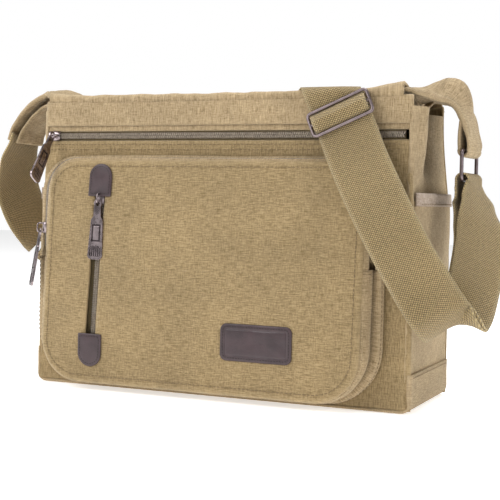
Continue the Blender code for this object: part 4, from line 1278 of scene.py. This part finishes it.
def leather_plate(name, outline_at, depths, place):
    """A piece of leather with a crowned edge, from nested outlines that grow in from its edge."""
    obj = new_object(name, nested_mesh(name, outline_at, depths, place), "bag", LEATHER)
    thicken(obj, LEATHER_THICK)
    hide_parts(name.replace("_hide", ""))


def make_leather():
    low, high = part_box("leather_label")
    base = 0.0003 + LEATHER_THICK / 2
    seam_inset = 0.0019
    groove_inset = 0.0042

    def label_outline(inset):
        return nested_outline(low.x, high.x, low.z, high.z, 0.005, 0.005, inset, 40, 16, 6)

    def label_place(x, z, inset):
        groove = 0.00032 * bell(inset - groove_inset, 0.0005)
        lift = base - edge_roll(inset, LEATHER_ROUND) * 0.7 - groove + pocket_crown(x, z) * 0.9
        return on_pocket(x, z, lift + 0.00012 * rough((x, 0, z), 0.006, 5.0))

    depths = [0.0, 0.0002, 0.0005, 0.0010, 0.0017, 0.0026, 0.0033, 0.0038, 0.0042, 0.0046, 0.0051, 0.0060]
    depths += [0.0075, 0.0092, 0.0110, 0.0128, 0.0140]
    leather_plate("leather_label_hide", label_outline, depths, label_place)
    edges = (low.x + seam_inset, high.x - seam_inset, low.z + seam_inset, high.z - seam_inset)
    outline = rounded_outline(*edges, 0.0034, 0.0034, 0.0012)
    points = [label_place(x, z, seam_inset) + POCKET_OUT * (LEATHER_THICK / 2) for x, z in outline]
    stitches("stitch_label", points + points[:1], POCKET_OUT, LEATHER_STITCH)

    tall, radius = LEATHER_END
    ends = [on_pocket(x, z) for x, z in patch_line()]
    down = (ends[1] - ends[0]).normalized()
    for label, sign, end in (("upper", -1, ends[0]), ("lower", 1, ends[1])):
        matrix = zip_matrix(end - down * sign * 0.0035, down * sign, POCKET_OUT)

        def outline_at(inset):
            inner = radius - inset
            run = tall - radius - inset
            points = arc((tall - radius, 0), inner, -90, 90, 16)
            points += [(inset + run * (1 - k / 9), inner) for k in range(1, 10)]
            points += [(inset, inner * (1 - 2 * k / 8)) for k in range(1, 9)]
            return points + [(inset + run * k / 9, -inner) for k in range(1, 9)]

        def place(a, b, inset):
            spot = matrix @ Vector((a, b, 0))
            lift = base - edge_roll(inset, LEATHER_ROUND) * 0.7 + pocket_crown(spot.x, spot.z)
            lift += 0.0003 * step(0, 0.004, inset)
            return matrix @ Vector((a, b, lift + 0.00010 * rough((a, b, sign), 0.005, 8.0)))

        depths = [0.0, 0.0002, 0.0005, 0.0010, 0.0017, 0.0026, 0.0040, 0.0058, 0.0076, 0.0096]
        leather_plate(f"leather_end_{label}_hide", outline_at, depths, place)
        seam = [place(a, b, END_SEAM) + POCKET_OUT * (LEATHER_THICK / 2) for a, b in outline_at(END_SEAM)]
        stitches(f"stitch_end_{label}", seam + seam[:1], POCKET_OUT, LEATHER_STITCH)


# Strap, glide, ring and ears ---------------------------------------------------------------------

RING_WIRE = 0.0015
RING_X = 0.199
RING_TOP_Z = 0.2065
RING_LOW_Z = 0.1835
RING_INNER = 0.0482
RING_WRAP = 0.0052
LAYER_APART = 0.0024
GLIDE_CENTRE = (0.1120, -0.0675, 0.2335)
GLIDE_LEAN = math.radians(25)
GLIDE_HALF = 0.0098
GLIDE_WIRE = 0.0013
COLUMNS = 12
OVER_BAG = (
    (-0.0870, 0.0900), (-0.0900, 0.1180), (-0.0890, 0.1480), (-0.0790, 0.1900), (-0.0710, 0.2180),
    (-0.0675, 0.2335), (-0.0642, 0.2480), (-0.0625, 0.2525), (-0.0570, 0.2545), (0.0, 0.2545),
    (0.0570, 0.2545), (0.0620, 0.2520), (0.0645, 0.2420), (0.0665, 0.1900), (0.0690, 0.1000), (0.0690, 0.0600),
)


def smooth_run(stations, spacing=0.0026):
    """A smooth run through stations of (point, across), with a point every spacing or less."""
    points = [Vector(point) for point, _ in stations]
    across = [Vector(side).normalized() for _, side in stations]
    run = []
    for i in range(len(points) - 1):
        before = points[max(i - 1, 0)]
        after = points[min(i + 2, len(points) - 1)]
        a, b = points[i], points[i + 1]
        reach = (b - a).length
        lead_in = (b - before).normalized() * reach
        lead_out = (after - a).normalized() * reach
        steps = max(1, math.ceil(reach / spacing))
        for k in range(steps):
            t = k / steps
            position = (
                (2 * t**3 - 3 * t**2 + 1) * a
                + (t**3 - 2 * t**2 + t) * lead_in
                + (3 * t**2 - 2 * t**3) * b
                + (t**3 - t**2) * lead_out
            )
            side = across[i].lerp(across[i + 1], t * t * (3 - 2 * t)).normalized()
            run.append((position, side))
    run.append((points[-1], across[-1]))
    return run


def rows_of(run, width, columns=1):
    """The rows of points of a flat strip along a run of (point, across)."""
    rows = []
    for i, (point, side) in enumerate(run):
        tangent = run[min(i + 1, len(run) - 1)][0] - run[max(i - 1, 0)][0]
        tangent.normalize()
        side = (side - tangent * side.dot(tangent)).normalized()
        rows.append([point + side * width * (k / columns - 0.5) for k in range(columns + 1)])
    return rows


def bend_curve():
    """The curve that the strap bends round, as points with their distance up it from the glide."""
    points = [point for point, _ in smooth_run([((0, y, z), (1, 0, 0)) for y, z in OVER_BAG], 0.002)]
    distance = distances(points)
    centre = Vector((0, *GLIDE_CENTRE[1:]))
    zero = min(range(len(points)), key=lambda k: (points[k] - centre).length)
    return points, [d - distance[zero] for d in distance]


def on_bend(curve, x, up, out):
    """The point at x across and up along the bend curve, standing out from it."""
    points, distance = curve
    k = next((i for i in range(1, len(points) - 1) if distance[i] > up), len(points) - 1)
    share = (up - distance[k - 1]) / (distance[k] - distance[k - 1])
    tangents = []
    for at in (k - 1, k):
        tangents.append((points[min(at + 1, len(points) - 1)] - points[max(at - 1, 0)]).normalized())
    tangent = tangents[0].lerp(tangents[1], share).normalized()
    place = points[k - 1].lerp(points[k], share)
    return Vector((x, place.y - tangent.z * out, place.z + tangent.y * out))


def strap_over_bag():
    """Gives the row of points across the webbing at (along, out). Along is 0 at the glide and grows
    towards the back."""
    curve = bend_curve()
    pace = 0.001
    lowest, highest = -0.150, 0.440
    count = int(round((highest - lowest) / pace))
    zero = int(round(-lowest / pace))

    def lean(along):
        front = math.radians(4.5) * (1 - step(-0.070, -0.015, along))
        back = math.radians(45) * step(0.165, 0.270, along)
        return GLIDE_LEAN + front + back

    places = [None] * (count + 1)
    places[zero] = (GLIDE_CENTRE[0], 0.0)
    for k in range(zero + 1, count + 1):
        angle = lean(lowest + k * pace)
        places[k] = (places[k - 1][0] - math.sin(angle) * pace, places[k - 1][1] + math.cos(angle) * pace)
    for k in range(zero - 1, -1, -1):
        angle = lean(lowest + k * pace)
        places[k] = (places[k + 1][0] + math.sin(angle) * pace, places[k + 1][1] - math.cos(angle) * pace)

    def place(along, across, out):
        scaled = min(max((along - lowest) / pace, 0.0), count - 0.001)
        k = int(scaled)
        x, up = (p + (q - p) * (scaled - k) for p, q in zip(places[k], places[k + 1]))
        angle = lean(along)
        return on_bend(curve, x + across * math.cos(angle), up + across * math.sin(angle), out)

    return lambda along, out: [place(along, WEBBING * (k / COLUMNS - 0.5), out) for k in range(COLUMNS + 1)]


def interpolate(stations, value):
    for (a, p), (b, q) in zip(stations, stations[1:]):
        if value <= b:
            return p + (q - p) * step(a, b, value)
    return stations[-1][1]


def as_station(row):
    return ((row[0] + row[-1]) / 2, row[-1] - row[0])


def shifted(run, sign):
    """One of the two layers of the loop. They part as they come up to the ring."""
    made = []
    for i, (point, side) in enumerate(run):
        tangent = (run[min(i + 1, len(run) - 1)][0] - run[max(i - 1, 0)][0]).normalized()
        normal = tangent.cross(side).normalized()
        share = step(0.70, 1.0, i / (len(run) - 1))
        apart = LAYER_APART / 2 + (RING_WRAP - LAYER_APART / 2) * share
        made.append((point + normal * apart * sign, side))
    return made


def strap_rows():
    """The webbing's whole run: left ear, up the back and over the bag, glide, hanging loop, ring, back."""
    row = strap_over_bag()
    layer = WEB_THICK / 2
    under = GLIDE_WIRE + 0.0013 + layer
    wrap = GLIDE_WIRE + 0.0006 + layer
    over = wrap + WEB_THICK + 0.0003
    middle = -under - LAYER_APART / 2
    back_end, loop_start = 0.370, -0.135
    left = [
        ((-0.2252, 0, 0.2230), (0, 1, 0)),
        ((-0.2278, 0, 0.2160), (0, 1, 0)),
        ((-0.2350, 0.001, 0.1960), (0.18, 0.98, 0)),
        ((-0.2380, 0.006, 0.1680), (0.38, 0.92, -0.05)),
        ((-0.2310, 0.024, 0.1370), (0.42, 0.84, -0.34)),
        ((-0.2150, 0.054, 0.1160), (0.15, 0.55, -0.80)),
        ((-0.1800, 0.0700, 0.1250), (0.25, 0.08, -0.95)),
        as_station(row(back_end, 0)),
    ]
    rows = rows_of(smooth_run(left), WEBBING, COLUMNS)[:-1]
    outs = [
        (loop_start, -under), (-GLIDE_HALF, -under), (-0.0040, over * 0.55), (0.0, over),
        (0.0040, over * 0.55), (GLIDE_HALF, -under), (0.0240, 0.0), (back_end, 0.0),
    ]
    along = back_end
    while along > loop_start:
        rows.append(row(along, interpolate(outs, along)))
        along -= 0.0010 if abs(along) < 0.016 else 0.0026
    first = row(loop_start, middle)
    loop = [
        as_station(first),
        ((0.1960, -0.0750, 0.0830), (0.80, 0.45, 0.38)),
        ((0.2020, -0.0580, 0.0730), (0.76, 0.56, 0.33)),
        ((0.2080, -0.0420, 0.0820), (0.74, 0.62, 0.24)),
        ((0.2130, -0.0280, 0.1080), (0.66, 0.74, 0.10)),
        ((0.2120, -0.0130, 0.1400), (0.64, 0.77, 0.00)),
        ((0.2044, -0.0030, 0.1640), (0.30, 0.95, 0.00)),
        ((RING_X, 0, RING_LOW_Z - 0.0040), (0, 1, 0)),
    ]
    middle_run = smooth_run(loop)
    turn = [
        (Vector((x, 0, z)), Vector((0, 1, 0))) for x, z in arc((RING_X, RING_LOW_Z), RING_WRAP, 165, 15, 12)
    ]
    around = shifted(middle_run, 1) + turn + shifted(middle_run, -1)[::-1]
    rows += rows_of(around, WEBBING, COLUMNS)
    along = loop_start + 0.0026
    while along < -GLIDE_HALF:
        rows.append(row(along, middle - LAYER_APART / 2))
        along += 0.0026
    rows.append(row(-GLIDE_HALF, middle - LAYER_APART / 2 + 0.0002))
    for angle in map(math.radians, range(195, -100, -14)):
        rows.append(row(wrap * math.cos(angle), wrap * math.sin(angle)))
    return rows


def make_strap():
    rows = strap_rows()
    obj = cloth("strap_cloth", rows, WEB_CLOTH, WEB_THICK)
    set_values(obj, [0.6 * (abs(2 * k / COLUMNS - 1) ** 12) for k in range(COLUMNS + 1)] * len(rows))
    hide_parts("strap_webbing")


def make_glide():
    row = strap_over_bag()
    along = (row(0, 0)[-1] - row(0, 0)[0]).normalized()
    up = row(GLIDE_HALF * 0.5, 0)[COLUMNS // 2] - row(-GLIDE_HALF, 0)[COLUMNS // 2]
    out = along.cross(up).normalized()
    matrix = Matrix((along, out.cross(along), out)).transposed().to_4x4()
    matrix.translation = as_station(row(0, 0))[0]
    half = WEBBING / 2 + 0.0012 + GLIDE_WIRE
    loop = rounded_outline(-half, half, -GLIDE_HALF, GLIDE_HALF, 0.0030, 0.0030, 0.0008)
    points = [matrix @ Vector((x, y, 0)) for x, y in loop]
    obj = tube("glide_hoop", points, 0.0014, "glide_frame", METAL_SATIN, out, 14, True)
    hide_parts("glide_frame")
    bar = [matrix @ Vector((half * (k / 20 - 1), 0, 0)) for k in range(41)]
    tube("glide_bar", bar, GLIDE_WIRE, "glide_frame", METAL_SATIN, out, 14)


def make_ring():
    half = RING_INNER / 2 + RING_WIRE
    loop = rounded_outline(-half, half, RING_LOW_Z, RING_TOP_Z, 0.0034, 0.0034, 0.0008)
    points = [Vector((RING_X, y, z)) for y, z in loop]
    up = Vector((1, 0, 0))
    obj = tube("strap_ring_wire", points, RING_WIRE, "strap_ring", METAL_SATIN, up, 14, True)
    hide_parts("strap_ring")


TAB_COLUMNS = 26
TAB_GROOVE = 0.0042  # how far the stitched groove lies in from a tab's edge


def padded_strip(name, run, width_at, thick_at, crown_at, seed, node, wave_size=0.0012):
    """A filled tab of cloth along a run of (point, across): rounded edges, a stitched groove and wrinkles.

    Width, thickness and the rise of its middle over its edges all change along it."""
    rows = []
    tones = []
    total = len(run) - 1
    flip = math.copysign(1.0, -run[1][0].x + run[0][0].x)
    for i, (point, side) in enumerate(run):
        tangent = (run[min(i + 1, total)][0] - run[max(i - 1, 0)][0]).normalized()
        side = (side - tangent * side.dot(tangent)).normalized()
        normal = side.cross(tangent) * flip
        thick = thick_at(i / total)
        width, rise = width_at(point), crown_at(point)
        ring = []
        for face in (1, -1):
            for k in range(TAB_COLUMNS):
                u = (-1 + 2 * k / TAB_COLUMNS) * face
                edge = width / 2 * (1 - abs(u))
                crown = 1 - edge_roll(edge, 0.0032) / 0.0032
                lift = face * thick / 2 * (crown - 0.30 * bell(edge - TAB_GROOVE, 0.0009))
                spot = point + side * (width / 2 * u)
                wave = wave_size * rough(spot, 0.017, seed) + wave_size * 0.4 * rough(spot, 0.007, seed + 3)
                bow = rise * math.cos(math.pi / 2 * u) ** 2
                ring.append(spot + normal * (lift + wave * (0.35 + 0.65 * crown) + bow))
                # Paler worn edges, and painted shade in the stitched groove.
                tones.append(0.6 * fade(edge, 0.0014) - 0.5 * bell(edge - TAB_GROOVE, 0.0008))
        rows.append(ring)
    mesh = grid_mesh(name, rows, closed=True)
    close_tube(mesh, TAB_COLUMNS * 2)
    obj = new_object(name, mesh, "bag", CANVAS_PALE)
    set_values(obj, tones)
    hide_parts(node)


EAR_WIDTH = 0.045
EAR_ROOT = 0.1160


def ear_width(point):
    """An ear narrows from the whole depth of the bag to its tip."""
    if point.z < 0.225:
        return EAR_WIDTH
    return EAR_WIDTH + (EAR_ROOT - EAR_WIDTH) * (1 - step(0.160, 0.194, abs(point.x)))


def make_ears():
    def upright(points):
        return smooth_run([((x, 0, z), (0, 1, 0)) for x, z in points], 0.0018)

    right = [(0.1545, 0.2530), (0.160, 0.2525), (0.168, 0.2500), (0.177, 0.2470), (0.186, 0.2455)]
    right += [(0.1930, 0.2400), (0.1985, 0.2290), (RING_X + 0.0040, RING_TOP_Z + 0.006)]
    right += arc((RING_X, RING_TOP_Z), 0.0038, 20, -200, 10)
    right += [(RING_X - 0.0040, RING_TOP_Z + 0.010), (RING_X - 0.0030, 0.2300)]

    def right_crown(point):
        if point.z < 0.228:
            return 0.0
        x = point.x
        return -0.0050 * step(0.162, 0.154, x) + 0.0175 * step(0.158, 0.176, x) * step(0.200, 0.183, x)

    def right_thick(share):
        return 0.0050 - 0.0020 * step(0.45, 0.6, share)

    padded_strip("ear_right_cloth", upright(right), ear_width, right_thick, right_crown, 111.0, "ear_right")
    left = [(-0.1545, 0.2516), (-0.160, 0.2522), (-0.168, 0.2535), (-0.181, 0.2570), (-0.195, 0.2560)]
    left += [(-0.2120, 0.2450), (-0.2245, 0.2310), (-0.2306, 0.2165)]

    def left_crown(point):
        x = -point.x
        return -0.0035 * step(0.162, 0.154, x) + 0.0040 * step(0.160, 0.180, x) * step(0.215, 0.195, x)

    def left_thick(share):
        return 0.0050 - 0.0010 * share

    padded_strip("ear_left_cloth", upright(left), ear_width, left_thick, left_crown, 113.0, "ear_left")
    facing = [(-0.1780, 0.2480), (-0.1930, 0.2470), (-0.2070, 0.2370), (-0.2175, 0.2245), (-0.2225, 0.2135)]
    width_at, thick_at, crown_at = lambda p: ear_width(p) - 0.004, lambda s: 0.0030, lambda p: 0.0
    padded_strip("ear_left_under", upright(facing), width_at, thick_at, crown_at, 117.0, "ear_left_facing", 0.0020)


# Inside ------------------------------------------------------------------------------------------


def dress_inside():
    for node in ("front_lining", "main_lining", "base_board"):
        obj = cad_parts[node]
        obj.data.materials.clear()
        obj.data.materials.append(LINING_CLOTH)


# Studio ------------------------------------------------------------------------------------------


AMBIENT = 0.28
WHITE = (1.0, 1.0, 1.0, 1.0)
FLOOR_HALF = 4.0
AIM = Vector((0, 0, 0.13))  # what the lamps point at
LENS = 83.5
SENSOR = 36.0
CAMERA_PLACE = Vector((0.4143, -0.9250, 0.1617))
CAMERA_TARGET = Vector((0.0083, 0.0, 0.1211))
CAMERA_ROLL = math.radians(1.15)
LAMPS = (
    ("key", (-1.1, -1.3, 1.3), 1.1, 22.0),
    ("side", (1.9, -0.3, 0.9), 1.0, 13.0),
    ("left", (-1.9, -0.5, 0.5), 1.0, 8.0),
    ("top", (0.1, 0.2, 1.9), 1.4, 36.0),
)


def make_studio():
    bpy.context.scene.view_settings.view_transform = "Standard"
    world = bpy.data.worlds.new("studio")
    world.use_nodes = True
    nodes, links = world.node_tree.nodes, world.node_tree.links
    background = nodes["Background"]
    background.inputs["Color"].default_value = WHITE
    background.inputs["Strength"].default_value = AMBIENT
    seen = nodes.new("ShaderNodeBackground")
    seen.inputs["Color"].default_value = WHITE
    path = nodes.new("ShaderNodeLightPath")
    choose = nodes.new("ShaderNodeMixShader")
    links.new(path.outputs["Is Camera Ray"], choose.inputs["Fac"])
    links.new(background.outputs["Background"], choose.inputs[1])
    links.new(seen.outputs["Background"], choose.inputs[2])
    links.new(choose.outputs["Shader"], nodes["World Output"].inputs["Surface"])
    bpy.context.scene.world = world
    reach = (-FLOOR_HALF, FLOOR_HALF)
    floor = link("floor", grid_mesh("floor", [[Vector((x, y, 0)) for y in reach] for x in reach]))
    paint = Painter("studio_floor")
    paint.set(Base_Color=(0.93, 0.93, 0.93), Roughness=0.9, Emission_Color=WHITE, Emission_Strength=0.55)
    floor.data.materials.append(paint.material)
    for name, place, size, power in LAMPS:
        data = bpy.data.lights.new(name, "AREA")
        data.size = size
        data.energy = power
        lamp = link(name, data)
        lamp.location = place
        lamp.rotation_euler = (AIM - Vector(place)).to_track_quat("-Z", "Y").to_euler()


def make_camera():
    forward = (CAMERA_TARGET - CAMERA_PLACE).normalized()
    right = forward.cross(Vector((0, 0, 1))).normalized()
    up = right.cross(forward)
    side = right * math.cos(CAMERA_ROLL) + up * math.sin(CAMERA_ROLL)
    above = up * math.cos(CAMERA_ROLL) - right * math.sin(CAMERA_ROLL)
    data = bpy.data.cameras.new("camera")
    data.lens = LENS
    data.sensor_width = SENSOR
    camera = link("camera", data)
    matrix = Matrix((side, above, -forward)).transposed().to_4x4()
    matrix.translation = CAMERA_PLACE
    camera.matrix_world = matrix
    bpy.context.scene.camera = camera
    bpy.context.scene.camera = camera


make_front()
front_stitches()
make_back()
make_gussets()
make_base()
make_side_pockets()
make_top()
make_pocket_face()
make_pocket_side()
make_zips()
make_leather()
make_strap()
make_glide()
make_ring()
make_ears()
dress_inside()
make_studio()
make_camera()
